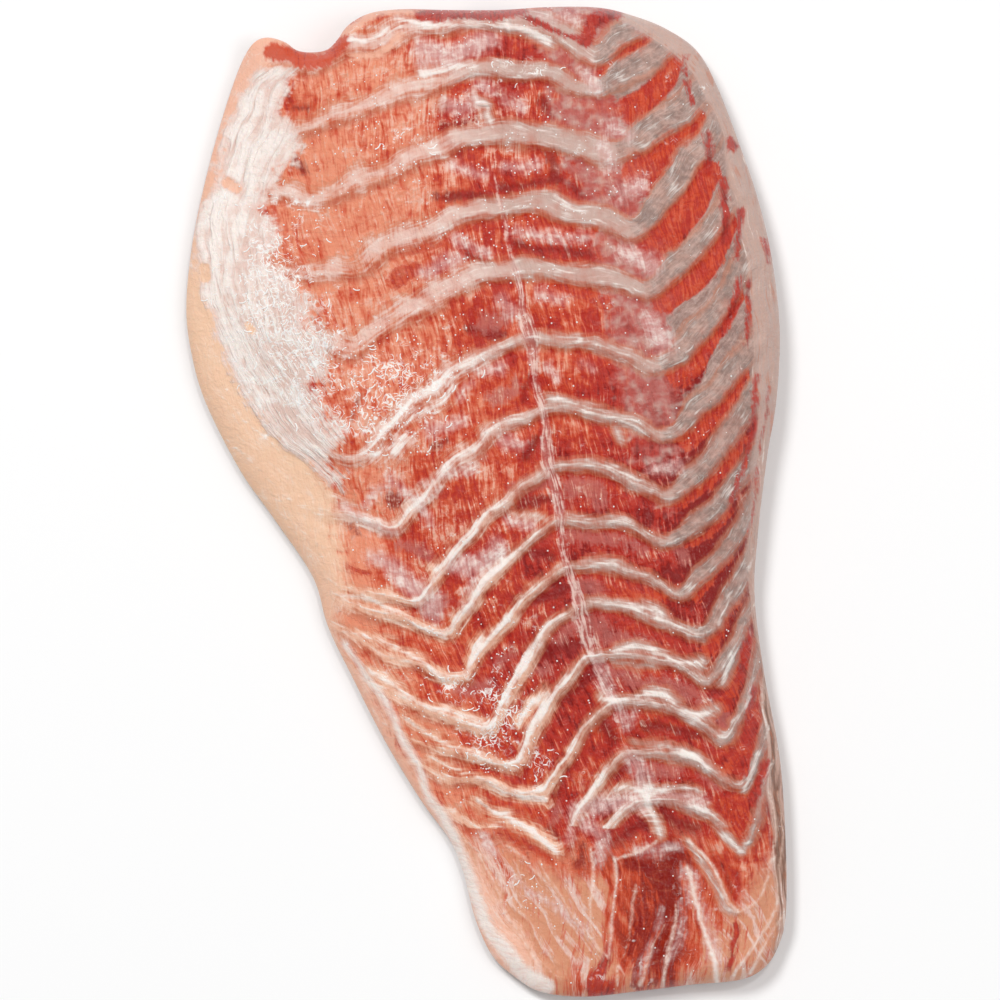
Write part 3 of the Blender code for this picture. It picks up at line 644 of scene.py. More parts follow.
class FilletSizes(bpy.types.PropertyGroup):
    mesh_step: length("Mesh step", "Spacing of the points on the top", 0.72)
    rim_step: length("Rim step", "Spacing of the points along the outline", 1.0)
    bead_small: length("Smallest bead", "Radius of the smallest drop of moisture", 0.12)
    bead_large: length("Largest bead", "Radius of the largest drop of moisture", 0.32)
    thread_short: length("Shortest thread", "Length of the shortest thread of fat", 0.9)
    thread_long: length("Longest thread", "Length of the longest thread of fat", 2.4)
    beads: IntProperty(name="Beads", description="Drops per square metre at full wetness",
                       min=0, default=420000)
    threads: IntProperty(name="Threads", description="Threads per square metre at full wetness",
                         min=0, default=110000)


# Curves -----------------------------------------------------------------------------------------

def smooth_curve(at, stations, values):
    """Read a smooth curve through (station, value) pairs; flat beyond its ends."""
    order = np.argsort(stations)
    knots = np.asarray(stations, float)[order]
    heights = np.asarray(values, float)[order]
    slopes = np.gradient(heights, knots)
    at = np.clip(at, knots[0], knots[-1])
    i = np.clip(np.searchsorted(knots, at) - 1, 0, len(knots) - 2)
    return hermite(at, knots[i], knots[i + 1], heights[i], heights[i + 1], slopes[i], slopes[i + 1])


def hermite(at, x0, x1, y0, y1, m0, m1):
    """Cubic between two knots with given slopes."""
    span = x1 - x0
    t = (at - x0) / span
    rise = y1 - y0
    blend = t * t * (3 - 2 * t)
    return y0 + rise * blend + span * t * (1 - t) * (m0 * (1 - t) - m1 * t)


def catmull_rom(a, b, c, d, t):
    """One point of the smooth stretch from b to c."""
    return 0.5 * (2 * b + (c - a) * t + (2 * a - 5 * b + 4 * c - d) * t * t
                  + (3 * b - a - 3 * c + d) * t ** 3)


def outline_samples(step):
    """Points along the outline about `step` apart, each with its rim sizes."""
    corners, rims = [], []
    edges = ((HEAD_EDGE, HEAD_RIM), (BACK_EDGE, BACK_RIM), (TAIL_EDGE, TAIL_RIM),
             (BELLY_EDGE, BELLY_RIM))
    for edge, rim in edges:
        for corner in edge:
            corners.append(np.array(corner, float))
            rims.append(np.array(rim, float))
    count = len(corners)
    fine = []
    for i in range(count):
        a, b, c, d = (corners[(i + k) % count] for k in (-1, 0, 1, 2))
        for t in np.linspace(0, 1, OUTLINE_CURVE_STEPS, endpoint=False):
            rim = rims[i] + (rims[(i + 1) % count] - rims[i]) * t
            fine.append(np.concatenate((catmull_rom(a, b, c, d, t), rim)))
    fine = np.array(fine + fine[:1])
    travelled = np.concatenate(([0], np.cumsum(np.hypot(*np.diff(fine[:, :2], axis=0).T))))
    marks = np.linspace(0, travelled[-1], round(travelled[-1] / step), endpoint=False)
    return np.stack([np.interp(marks, travelled, column) for column in fine.T], axis=1)


def inward_normals(points):
    """Unit vectors that point into the fillet, for a clockwise outline."""
    along = np.roll(points, -1, axis=0) - np.roll(points, 1, axis=0)
    inward = np.stack((along[:, 1], -along[:, 0]), axis=1)
    return inward / np.linalg.norm(inward, axis=1, keepdims=True)


def smooth_path(points, parts):
    """A stroke's points with `parts` steps of a smooth curve between each two."""
    ends = [np.array(p, float) for p in (points[0],) + tuple(points) + (points[-1],)]
    path = []
    for i in range(1, len(ends) - 2):
        for t in np.linspace(0, 1, parts, endpoint=False):
            path.append(catmull_rom(ends[i - 1], ends[i], ends[i + 1], ends[i + 2], t))
    path.append(ends[-1])
    return np.array(path)


# Fields over the fillet -------------------------------------------------------------------------

def rim_fields(x, y):
    """Smooth distance to the outline, and the rim's three sizes blended from nearby edges."""
    outline = outline_samples(OUTLINE_STEP)
    step = np.hypot(*(outline[0, :2] - outline[1, :2]))
    distance = np.empty(len(x))
    sizes = np.empty((len(x), 3))
    for start in range(0, len(x), POINTS_AT_ONCE):
        part = slice(start, start + POINTS_AT_ONCE)
        gap2 = (x[part, None] - outline[:, 0]) ** 2 + (y[part, None] - outline[:, 1]) ** 2
        closest = gap2.argmin(axis=1)
        near = np.minimum(segment_distance(x[part], y[part], outline, closest - 1),
                          segment_distance(x[part], y[part], outline, closest))
        weight = 1 / np.maximum(gap2, 0.04) ** 2
        total = weight.sum(axis=1)
        smooth = (total * step / (math.pi / 2)) ** (-1 / 3)
        share = np.clip((near - 1.0) / 2.0, 0, 1)
        distance[part] = near + (smooth - near) * share
        sizes[part] = (weight @ outline[:, 2:]) / total[:, None]
    return distance, sizes[:, 0], sizes[:, 1], sizes[:, 2]


def segment_distance(x, y, outline, first):
    """Distance to the outline's segment that starts at sample `first`."""
    ax, ay = outline[first, 0], outline[first, 1]
    bx, by = outline[(first + 1) % len(outline), :2].T
    along = ((x - ax) * (bx - ax) + (y - ay) * (by - ay)) / ((bx - ax) ** 2 + (by - ay) ** 2)
    along = np.clip(along, 0, 1)
    return np.hypot(x - ax - along * (bx - ax), y - ay - along * (by - ay))


def rounding(distance, reach):
    """Quarter-ellipse rise from 0 at the outline to 1 at `reach` from it."""
    left = 1 - np.clip(distance / reach, 0, 1)
    return np.sqrt(np.maximum(1 - left * left, 0))


def guide_lines(y):
    """x of the five lines that run from head to tail, belly edge first."""
    return (
        smooth_curve(y, BELLY_SIDE_STATIONS, BELLY_SIDE_X),
        smooth_curve(y, BELLY_TROUGH_STATIONS, BELLY_TROUGH_X),
        smooth_curve(y, SEAM_STATIONS, SEAM_X),
        smooth_curve(y, BACK_TROUGH_STATIONS, BACK_TROUGH_X),
        smooth_curve(y, BACK_SIDE_STATIONS, BACK_SIDE_X),
    )


def crown(x, y):
    """Height of the top before relief: a thick back, a thin belly flap, a thinner tail."""
    lines = guide_lines(y)
    x = np.clip(x, lines[0], lines[-1])
    slopes = []
    for i in range(5):
        low, high = max(i - 1, 0), min(i + 1, 4)
        slopes.append((CROWN_SHARE[high] - CROWN_SHARE[low]) / (lines[high] - lines[low]))
    share = np.zeros_like(x)
    for i in range(4):
        here = (x >= lines[i]) & (x <= lines[i + 1])
        curve = hermite(x, lines[i], lines[i + 1], CROWN_SHARE[i], CROWN_SHARE[i + 1],
                        slopes[i], slopes[i + 1])
        share = np.where(here, curve, share)
    thickest = smooth_curve(y, CROWN_STATIONS, CROWN_THICKNESS)
    return FLAP_THICKNESS + (thickest - FLAP_THICKNESS) * share


class Septum:
    """One sheet of connective tissue, as a line over the fillet and its widths along it."""

    def __init__(self, number):
        self.seam_y, self.belly_fall, self.back_fall, belly_climb, back_climb = SEPTA[number]
        self.belly_climb, self.back_climb = belly_climb, back_climb
        belly_y = self.seam_y - self.belly_fall
        back_y = self.seam_y - self.back_fall
        self.seam_x = float(smooth_curve(self.seam_y, SEAM_STATIONS, SEAM_X))
        self.belly_x = float(smooth_curve(belly_y, BELLY_TROUGH_STATIONS, BELLY_TROUGH_X))
        self.back_x = float(smooth_curve(back_y, BACK_TROUGH_STATIONS, BACK_TROUGH_X))
        belly_y += belly_climb
        back_y += back_climb
        self.belly_end = float(smooth_curve(belly_y, BELLY_SIDE_STATIONS, BELLY_SIDE_X))
        self.back_end = float(smooth_curve(back_y, BACK_SIDE_STATIONS, BACK_SIDE_X))
        self.line_widths = LINE_WIDTHS[number]
        self.fat_widths = FAT_WIDTHS[number]

    def sharp_y(self, x):
        """It falls from the seam to a trough on each side, then climbs."""
        to_belly = np.clip((self.seam_x - x) / (self.seam_x - self.belly_x), 0, 1)
        to_back = np.clip((x - self.seam_x) / (self.back_x - self.seam_x), 0, 1)
        belly_arm = np.maximum((self.belly_x - x) / (self.belly_x - self.belly_end), 0)
        back_arm = np.maximum((x - self.back_x) / (self.back_end - self.back_x), 0)
        step = SEAM_STEP * math.exp(-((self.seam_y - SEAM_STEP_AT) / SEAM_STEP_SPREAD) ** 2)
        beside_seam = np.clip((self.seam_x - x) / SEAM_STEP_WIDTH, 0, 1) * (1 - to_belly)
        return (self.seam_y - self.belly_fall * to_belly ** BELLY_BEND
                - self.back_fall * to_back ** BACK_BEND
                + self.belly_climb * belly_arm ** BELLY_ARM_BEND
                + self.back_climb * back_arm ** BACK_ARM_BEND - step * beside_seam)

    def line_y(self, x):
        """The line with its corners at the troughs rounded, and a slight wobble."""
        wobble = 0.5 * np.sin(x / 7.3 + self.seam_y) + 0.35 * np.sin(x / 3.1 + 2.1 * self.seam_y)
        sides = self.sharp_y(x - TROUGH_ROUNDING) + self.sharp_y(x + TROUGH_ROUNDING)
        return 0.5 * self.sharp_y(x) + 0.25 * sides + wobble

    def offset(self, x, y):
        """Distance from the line, positive on its head side."""
        slope = self.line_y(x + 0.5) - self.line_y(x - 0.5)
        return (y - self.line_y(x)) / np.sqrt(1 + slope ** 2)

    def length_to(self, x):
        """Distance travelled along the line to each x."""
        marks = np.arange(-LINE_REACH, LINE_REACH, LINE_STEP)
        travelled = np.cumsum(np.hypot(LINE_STEP, np.diff(self.line_y(marks), prepend=0)))
        return np.interp(x, marks, travelled)

    def along(self, x, widths):
        """A width that changes along the line, from its five named places."""
        belly_arm, belly, seam, back, back_arm = widths
        places = (self.belly_end, self.belly_x - 7, self.belly_x,
                  self.belly_x + 0.35 * (self.seam_x - self.belly_x), self.seam_x - 3,
                  self.seam_x + 5, 0.5 * (self.seam_x + self.back_x), self.back_x - 3,
                  self.back_x + 5, self.back_end)
        values = (0.3 * belly_arm, belly_arm, 0.5 * (belly_arm + belly), belly, seam,
                  0.8 * back, back, 0.7 * back, back_arm, 0.8 * back_arm)
        return np.interp(x, places, values)


def level(depth, soft=2.0):
    """0 outside, 0.5 on the border and 1 inside, over `soft` millimetres each way."""
    return np.clip(0.5 + depth / (2 * soft), 0, 1)


def stroke_depth(x, y, strokes):
    """How deep each point lies inside the nearest of some strokes."""
    depth = np.full(len(x), OUTSIDE)
    for points, start, end in strokes:
        path = smooth_path(points, STROKE_CURVE_STEPS)
        widths = np.linspace(start, end, len(path))
        low, high = path.min(axis=0) + OUTSIDE, path.max(axis=0) - OUTSIDE
        near = (x > low[0]) & (x < high[0]) & (y > low[1]) & (y < high[1])
        px, py, best = x[near], y[near], depth[near]
        for a, b, wide_a, wide_b in zip(path[:-1], path[1:], widths[:-1], widths[1:]):
            run = b - a
            t = np.clip(((px - a[0]) * run[0] + (py - a[1]) * run[1]) / (run @ run), 0, 1)
            gap = np.hypot(px - a[0] - t * run[0], py - a[1] - t * run[1])
            best = np.maximum(best, wide_a + (wide_b - wide_a) * t - gap)
        depth[near] = best
    return depth


def ease(value, low, high):
    """0 up to `low`, 1 from `high` on, and a smooth step between."""
    t = np.clip((value - low) / (high - low), 0, 1)
    return t * t * (3 - 2 * t)


def hills(x, y, base, places):
    """A smooth field that rises by some amount about each of a few places."""
    total = base + 0 * x
    for cx, cy, reach_x, reach_y, amount in places:
        total += amount * np.exp(-((x - cx) / reach_x) ** 2 - ((y - cy) / reach_y) ** 2)
    return total


def tremble(x, y):
    """Slightly shifted places, so that lines do not run too true."""
    slow = np.sin(x / 3.1 + 2.0 * np.sin(y / 5.3)), np.sin(y / 3.7 + 2.0 * np.sin(x / 4.9 + 1))
    quick = np.sin(x / 0.9 + 2.5 * np.sin(y / 1.7)), np.sin(y / 1.1 + 2.5 * np.sin(x / 1.9 + 2))
    return x + 0.5 * slow[1] + 0.1 * quick[1], y + 0.5 * slow[0] + 0.1 * quick[0]


def septum_fields(x, y):
    """Depth inside white lines and fat, where each point lies by its septa, and the relief."""
    line = np.full(len(x), OUTSIDE)
    gap = np.full(len(x), NO_SEPTUM)
    run = np.zeros(len(x))
    fat = np.full(len(x), OUTSIDE)
    above_gap = np.full(len(x), WIDEST_GAP)
    below_gap = np.full(len(x), WIDEST_GAP)
    ridge = np.zeros(len(x))
    for number in range(len(SEPTA)):
        septum = Septum(number)
        off = septum.offset(x, y)
        nearer = np.abs(off) < np.abs(gap)
        gap = np.where(nearer, off, gap)
        run = np.where(nearer, septum.length_to(x) + 7.3 * number, run)
        half = septum.along(x, septum.line_widths)
        above = septum.along(x, septum.fat_widths)
        below = 0.8 + half + 0.6 * above * ease(-x, -septum.belly_x, -septum.belly_x + 6)
        fat = np.maximum(fat, 0.5 * (above + below) - np.abs(off - 0.5 * (above - below)))
        inside_line = half - np.abs(off - 0.5 * half)
        line = np.maximum(line, np.where(half > 0.05, inside_line, OUTSIDE))
        above_gap = np.where(off < 0, np.minimum(above_gap, -off), above_gap)
        below_gap = np.where(off > 0, np.minimum(below_gap, off), below_gap)
        ridge += RIDGE_HEIGHT * np.exp(-(off / (RIDGE_HALF_WIDTH + 0.4 * half)) ** 2)
        ridge -= CREASE_DEPTH * np.exp(-((off + CREASE_OFFSET) / RIDGE_HALF_WIDTH) ** 2)
    return line, fat, above_gap, below_gap, ridge, gap, run


def surface_fields(true_x, true_y):
    """Everything the material, the relief and the scattering need to know about each point."""
    x, y = tremble(true_x, true_y)
    belly_side, belly_trough, seam, back_trough, _ = guide_lines(y)
    line, fat, above_gap, below_gap, ridge, gap, run = septum_fields(x, y)
    in_pattern = np.clip((y - PATTERN_END) / PATTERN_FADE + 0.5, 0, 1)
    off_flap = np.clip((x - belly_side) / (belly_trough - belly_side) * 2 - 0.4, 0, 1)
    fat = np.where(in_pattern > 0.5, fat, OUTSIDE)
    line = np.where(in_pattern > 0.5, line, OUTSIDE)

    inboard = x - smooth_curve(y, FLAP_STATIONS, FLAP_X)
    outboard = x - smooth_curve(y, BACK_LINE_STATIONS, BACK_LINE_X)
    tail_depth = smooth_curve(x, TAIL_LINE_STATIONS, TAIL_LINE_Y) - y
    lining_out = x - smooth_curve(y, FILM_OUT_STATIONS, FILM_OUT_X)
    lining_in = smooth_curve(y, FILM_IN_STATIONS, FILM_IN_X) - x
    lining_ends = np.minimum(2 * (LINING_HEAD_END - y), y - LINING_TAIL_END)
    lining = np.minimum(np.minimum(level(lining_out, 4.0), level(lining_in + 1.0, 9.0)),
                        np.minimum(level(lining_ends, 4.0), level(-stroke_depth(x, y, HOLES), 1.2)))
    bed = np.minimum(np.minimum(lining_out + 8, lining_in - 5), lining_ends)
    seam_strip = 1.5 + 0.5 * np.sin(y / 6.1) - np.abs(x - seam) - 2.5 * ease(y, 50, 110)
    seam_strip = np.where(y > SEAM_WHITE_END, seam_strip, OUTSIDE)
    trough = 11 - np.abs(x - back_trough + 3) - 5 * ease(-y, -45, 0)
    bright = stroke_depth(x, y, BRIGHT_MUSCLE)
    back_fat = ease(x - back_trough, -2, 12) * ease(y, 12, 44) * (1 - level(bright + 0.8, 1.2))

    tendons = stroke_depth(x, y, TENDONS)
    rim_fat = stroke_depth(x, y, EDGE_FAT)
    # white tissue strokes, which also hold painted highlight strips
    tissue = stroke_depth(x, y, WHITE_TISSUE_AND_GLEAMS)
    creases = stroke_depth(x, y, CREASES)
    film = stroke_depth(x, y, FILMS)
    deep = stroke_depth(x, y, DEEP_MUSCLE)
    within = below_gap / (below_gap + above_gap)
    warm = hills(x, y, 0.45, TONES) + 0.3 * ease(-inboard, -22, -2) * ease(-y, 5, 40)
    warm += 0.5 * (within - 0.5) * ease(x - seam, -4, 4) * ease(-outboard, -12, 0)

    bundles = 0.09 * np.sin(2.2 * (x - seam) + 1.5 * np.sin(y / 9)) * level(-fat, 1.5)
    flat = 1 - 0.85 * ease(seam - x, 4, 25) * ease(y, -10, 30)
    relief = ridge * in_pattern * off_flap * flat + bundles * off_flap
    relief -= SEAM_DEPTH * np.exp(-((x - seam) / SEAM_HALF_WIDTH) ** 2)
    relief += 0.5 * level(tendons, 1.2) + 0.5 * level(rim_fat, 3.0) + 0.3 * level(tissue, 1.5)
    relief += 0.35 * ease(lining, 0.3, 0.6) + 0.12 * level(film, 1.5) - 0.25 * level(deep, 2.5)

    fat_soft = 2.0 + 1.6 * ease(seam - x, 4, 25) * ease(y, -20, 20)
    on_flesh = (outboard < 0) * (inboard > 3)
    return {
        "relief": relief,
        "tail_red": hills(x, y, 0.0, TAIL_REDS),
        "white": np.maximum(level(line, 1.4), 0.94 * level(np.maximum(tissue, creases) - 0.2, 1.6)),
        "tendon": level(tendons - 0.3, 1.5),
        "rim_fat": level(rim_fat, 2.5),
        "fat": level(np.maximum(fat, tissue + 0.3), fat_soft),
        "back_arm": ease(x - back_trough, -6, 4),
        "back_fat": back_fat,
        "trough": level(trough, 5.0) * ease(y, -20, 30),
        "veil": np.clip(hills(x, y, 0.0, VEILS), 0, 1),
        "seam": level(seam_strip),
        "film": level(film, 3.0),
        "dull": level(stroke_depth(x, y, DULL_FILMS), 3.0),
        "deep": level(deep, 2.5),
        "bright": level(bright + 0.8 * ease(y, 0, 40), 2.0),
        "red": level(stroke_depth(x, y, RED_STREAKS), 2.0),
        "peach": level(stroke_depth(x, y, PEACH_RIM), 2.5),
        "warm": warm,
        "flap": level(-inboard, 7.0),
        "back": level(outboard, 3.0),
        "tail": level(tail_depth, 9.0),
        "lining": lining,
        "bed": level(bed, 4.0),
        "gap": gap,
        "run": run,
        "belly": np.clip((seam - x) / 40, -1, 1),
        "across": x - seam,
        "inboard": inboard,
        "outboard": outboard,
        "drops": np.clip(hills(x, y, 0.10, DROPS), 0, 1) * clusters(x, y) * on_flesh,
        "tatters_and_glints": np.clip(hills(x, y, 0.0, TATTERS_AND_GLINTS), 0, 1)
        * np.maximum(ease(lining, 0.3, 0.6), ease(inboard, 0, 3)),
    }


def clusters(x, y):
    """Small clearings and crowds, for drops that gather."""
    weave = np.sin(x / 1.9 + 2 * np.sin(y / 2.9)) * np.sin(y / 2.3 + 2 * np.sin(x / 3.3))
    return ease(weave, -0.15, 0.6)


def unevenness(x, y):
    """The slow rise and fall of limp flesh."""
    return 0.45 * np.sin(x / 17 + 0.7) * np.sin(y / 23 + 1.1) + 0.3 * np.sin((x + y) / 11 + 2)


# Meshes -----------------------------------------------------------------------------------------

def hex_points(step):
    """A grid of points in offset rows over the whole outline's box."""
    rows = []
    for j, y in enumerate(np.arange(-HALF_LENGTH, HALF_LENGTH, step * ROW_SPACING)):
        x = np.arange(-HALF_WIDTH, HALF_WIDTH, step) + step / 2 * (j % 2)
        rows.append(np.stack((x, np.full_like(x, y)), axis=1))
    return np.concatenate(rows)


def is_inside(points, outline):
    """Whether each point lies inside an outline, by crossings of its edges."""
    inside = np.zeros(len(points), bool)
    following = np.roll(outline, -1, axis=0)
    for (ax, ay), (bx, by) in zip(outline, following):
        if ay == by:
            continue
        spans = (ay > points[:, 1]) != (by > points[:, 1])
        inside ^= spans & (points[:, 0] < ax + (points[:, 1] - ay) / (by - ay) * (bx - ax))
    return inside


def fill(border, inner):
    """Triangles over a border ring and the points inside it, counter-clockwise from above."""
    flat = [Vector(p) for p in np.concatenate((border, inner))]
    edges = [(i, (i + 1) % len(border)) for i in range(len(border))]
    _, _, faces, origins, _, _ = delaunay_2d_cdt(flat, edges, [], 1, 1e-6)
    corners = np.array([[origins[i][0] for i in face] for face in faces])
    spots = np.array(flat)
    a, b, c = (spots[corners[:, k]] for k in range(3))
    turn = (b[:, 0] - a[:, 0]) * (c[:, 1] - a[:, 1]) - (b[:, 1] - a[:, 1]) * (c[:, 0] - a[:, 0])
    corners[turn < 0] = corners[turn < 0][:, ::-1]
    return corners


def ring_strip(first, second, count):
    """Triangles between two rings of equal count; `first` is the outer one, seen from above."""
    i = np.arange(count)
    j = (i + 1) % count
    return np.concatenate((np.stack((first + i, second + i, first + j), axis=1),
                           np.stack((first + j, second + i, second + j), axis=1)))


RIM_DEPTH = 2.8
RIM_RINGS = 12
UNDER_RINGS = 6
UNDER_STEP = 2.6
UNDER_CLEARANCE = 0.8
# how many rings above and below the rim the skin side fades over
FADE_RINGS_ABOVE = 5
FADE_RINGS_BELOW = 3


def fillet_points(sizes):
    """Plan positions and triangles of the whole fillet, how far below each point is, and the
    number of points on the top."""
    outline = outline_samples(sizes.rim_step / MM)
    rim, inward = outline[:, :2], inward_normals(outline[:, :2])
    count = len(rim)
    rings = [rim + inward * RIM_DEPTH * (k / RIM_RINGS) ** 2 for k in range(1, RIM_RINGS + 1)]
    grid = hex_points(sizes.mesh_step / MM)
    grid = grid[is_inside(grid, rings[-1])]
    grid = grid[rim_fields(grid[:, 0], grid[:, 1])[0] > RIM_DEPTH + 0.5 * sizes.mesh_step / MM]
    top = np.concatenate(rings + [grid])

    lower = [rim + inward * outline[:, 3:4] * (k / UNDER_RINGS) ** 2
             for k in range(1, UNDER_RINGS + 1)]
    under_grid = hex_points(UNDER_STEP)
    under_grid = under_grid[is_inside(under_grid, lower[-1])]
    clear = rim_fields(under_grid[:, 0], under_grid[:, 1])
    under_grid = under_grid[clear[0] > clear[2] + UNDER_CLEARANCE]
    under = np.concatenate(lower + [under_grid])

    triangles = [ring_strip(k * count, (k + 1) * count, count) for k in range(RIM_RINGS)]
    inner_top = fill(rings[-1], grid) + RIM_RINGS * count
    triangles.append(inner_top)
    base = count + len(top)
    starts = [0] + [base + k * count for k in range(UNDER_RINGS)]
    for first, second in zip(starts[:-1], starts[1:]):
        triangles.append(ring_strip(first, second, count)[:, ::-1])
    triangles.append((fill(lower[-1], under_grid) + starts[-1])[:, ::-1])

    plan = np.concatenate((rim, top, under))
    below = np.full(len(plan), 0.5)
    for k in range(RIM_RINGS):
        share = max(0.0, 0.5 - 0.5 * (k + 1) / FADE_RINGS_ABOVE)
        below[(k + 1) * count:(k + 2) * count] = share
    below[(RIM_RINGS + 1) * count:base] = 0.0
    for k in range(UNDER_RINGS):
        share = min(1.0, 0.5 + 0.5 * (k + 1) / FADE_RINGS_BELOW)
        below[base + k * count:base + (k + 1) * count] = share
    below[starts[-1] + count:] = 1.0
    return plan, np.concatenate(triangles), below, base


def fillet_mesh(sizes):
    """The fine skin of the fillet, with the fields its material reads."""
    plan, triangles, below, base = fillet_points(sizes)
    x, y = plan[:, 0], plan[:, 1]
    distance, over, under, rim = rim_fields(x, y)
    distance[:len(outline_samples(sizes.rim_step / MM))] = 0
    fields = surface_fields(x, y)
    inner = ease(distance, 1.0, 6.0)
    top_z = rim + (crown(x, y) - rim) * rounding(distance, over)
    top_z += (fields["relief"] + unevenness(x, y)) * inner
    under_z = rim * (1 - rounding(distance, under))
    z = np.where(np.arange(len(x)) < base, top_z, under_z)

    mesh = bpy.data.meshes.new("fillet_flesh")
    mesh.from_pydata((np.stack((x, y, z), axis=1) * MM).tolist(), [], triangles.tolist())
    mesh.shade_smooth()
    fields["below"] = below
    fields["rim"] = np.clip(distance / 10, 0, 1)
    for name, values in fields.items():
        if name == "relief":
            continue
        layer = mesh.attributes.new(name, "FLOAT", "POINT")
        layer.data.foreach_set("value", values.astype(np.float32))
    return mesh


# Nodes ------------------------------------------------------------------------------------------

def add(tree, kind, inputs=None, out=None, **settings):
    """Add a node with its settings and links, and return one of its outputs."""
    node = tree.nodes.new(kind)
    for name, value in settings.items():
        setattr(node, name, value)
    for name, value in (inputs or {}).items():
        if isinstance(name, int):
            socket = node.inputs[name]
        else:
            socket = next(s for s in node.inputs if s.name == name and s.enabled)
        if isinstance(value, bpy.types.NodeSocket):
            tree.links.new(value, socket)
        else:
            socket.default_value = value
    if out is None:
        return next(s for s in node.outputs if s.enabled)
    return next(s for s in node.outputs if s.name == out and s.enabled)


def new_material(name):
    """An empty node material and its tree."""
    material = bpy.data.materials.new(name)
    material.use_nodes = True
    tree = material.node_tree
    tree.nodes.clear()
    return material, tree


def wet_flesh(c):
    """Raw fish muscle, cut and skinned: fibres, fat and thin tissue under a film of water.

    The eye gets red and salmon bands with fine cross fibres, matt-white septa, a milky lining
    and small sharp highlights, partly from the water's coat and partly painted into the colour.
    """
    material, tree = new_material("raw_fish_flesh_cut")

    def field(name):
        return add(tree, "ShaderNodeAttribute", attribute_name=name, out="Fac")

    def maths(operation, a, b):
        return add(tree, "ShaderNodeMath", {0: a, 1: b}, operation=operation)

    def step(value, low, high, top=1.0):
        return add(tree, "ShaderNodeMapRange",
                   {"Value": value, "From Min": low, "From Max": high, "To Min": 0.0,
                    "To Max": top}, interpolation_type="SMOOTHSTEP")

    def blend(factor, a, b):
        return add(tree, "ShaderNodeMix", {"Factor": factor, "A": a, "B": b}, data_type="RGBA")

    def vector(a, b, c):
        return add(tree, "ShaderNodeCombineXYZ", {"X": a, "Y": b, "Z": c})

    def cloud(place, sizes, detail=2.0, roughness=0.5, swirl=0.0):
        scaled = add(tree, "ShaderNodeVectorMath", {0: place, 1: [1 / s for s in sizes]},
                     operation="MULTIPLY")
        noise = add(tree, "ShaderNodeTexNoise",
                    {"Vector": scaled, "Scale": 1.0, "Detail": detail, "Roughness": roughness,
                     "Distortion": swirl}, out="Fac")
        return maths("SUBTRACT", noise, 0.5)

    def summed(*terms):
        total = terms[0]
        for value, amount in terms[1:]:
            total = add(tree, "ShaderNodeMath", {0: value, 1: amount, 2: total},
                        operation="MULTIPLY_ADD")
        return total

    place = add(tree, "ShaderNodeTexCoord", out="Object")
    # millimetres, squeezed in height, so that the steep rim shows the same grain as the top
    mm = add(tree, "ShaderNodeVectorMath", {0: place, 1: (1 / MM, 1 / MM, 0.3 / MM)},
             operation="MULTIPLY")
    x, y, z = add(tree, "ShaderNodeSeparateXYZ", {0: mm}).node.outputs
    grain = vector(field("across"), y, z)

    # sizes in millimetres: across the fibres, along them, up
    fibre = cloud(grain, (0.8, 6.0, 2.0), 2.0, 0.5)
    hair = cloud(grain, (0.36, 4.0, 1.0), 1.0, 0.5)
    bundle = cloud(grain, (2.2, 9.0, 4.0))
    blotch = cloud(mm, (8.0, 6.0, 8.0), 3.0, 0.6)
    patch = cloud(mm, (2.4, 2.0, 2.4), 3.0, 0.6, 0.6)
    swell = cloud(mm, (3.0, 2.6, 3.0), 1.0, 0.4)
    speck = cloud(mm, (0.6, 0.6, 0.6), 1.0)
    mottle = cloud(mm, (1.3, 1.2, 1.3), 3.0, 0.65, 1.0)
    streak = cloud(vector(field("outboard"), y, z), (0.9, 22.0, 5.0), 3.0, 0.6)
    thread = cloud(vector(field("inboard"), y, z), (0.8, 6.0, 3.0), 3.0, 0.6, 1.2)
    wrinkle = cloud(vector(field("inboard"), y, z), (2.2, 13.0, 5.0), 2.0, 0.5, 1.0)

    # along the septa and away from them
    sheet = cloud(vector(field("run"), field("gap"), 0.0), (7.0, 0.9, 1.0), 2.0, 0.55)
    glint_squiggle = add(tree, "ShaderNodeMath", {0: cloud(mm, (2.3, 2.3, 2.3), 0.0, 0.5, 1.6)},
               operation="ABSOLUTE")

    # muscle, from deep red to salmon, crossed by pale strands
    tone = summed(field("warm"), (fibre, 1.2), (hair, 0.6), (bundle, 1.1), (blotch, 1.5),
                  (patch, 0.9))
    base = blend(step(tone, -0.25, 0.15), c.deep, c.red)
    base = blend(step(tone, 0.2, 0.65), base, c.orange)
    base = blend(step(tone, 0.45, 1.25), base, c.salmon)
    deep = step(summed(field("deep"), (fibre, 0.9), (patch, 0.7)), 0.35, 0.8, 0.85)
    base = blend(deep, base, c.deep)
    dull = step(summed(field("dull"), (fibre, 1.0), (patch, 0.8), (speck, 0.3)), 0.35, 0.75, 0.7)
    base = blend(dull, base, c.dull)
    strands = summed(maths("MULTIPLY", field("veil"), 0.5), (fibre, 1.5), (hair, 1.0),
                     (mottle, 1.5), (blotch, 2.0), (patch, 1.5))
    strands = step(strands, 0.40, 1.10, 0.6)
    base = blend(strands, base, c.strand)
    pale = step(summed(0.0, (fibre, 1.8), (hair, 1.4), (blotch, 1.4)), 0.20, 0.65, 0.32)
    base = blend(pale, base, c.strand)

    # painted shade: deep red darkens the crease on the tail side of each septum
    painted_crease_shade = maths("MULTIPLY", step(field("gap"), -4.2, -1.8, 0.35), step(field("gap"), 0.0, -1.4))
    base = blend(painted_crease_shade, base, c.deep)

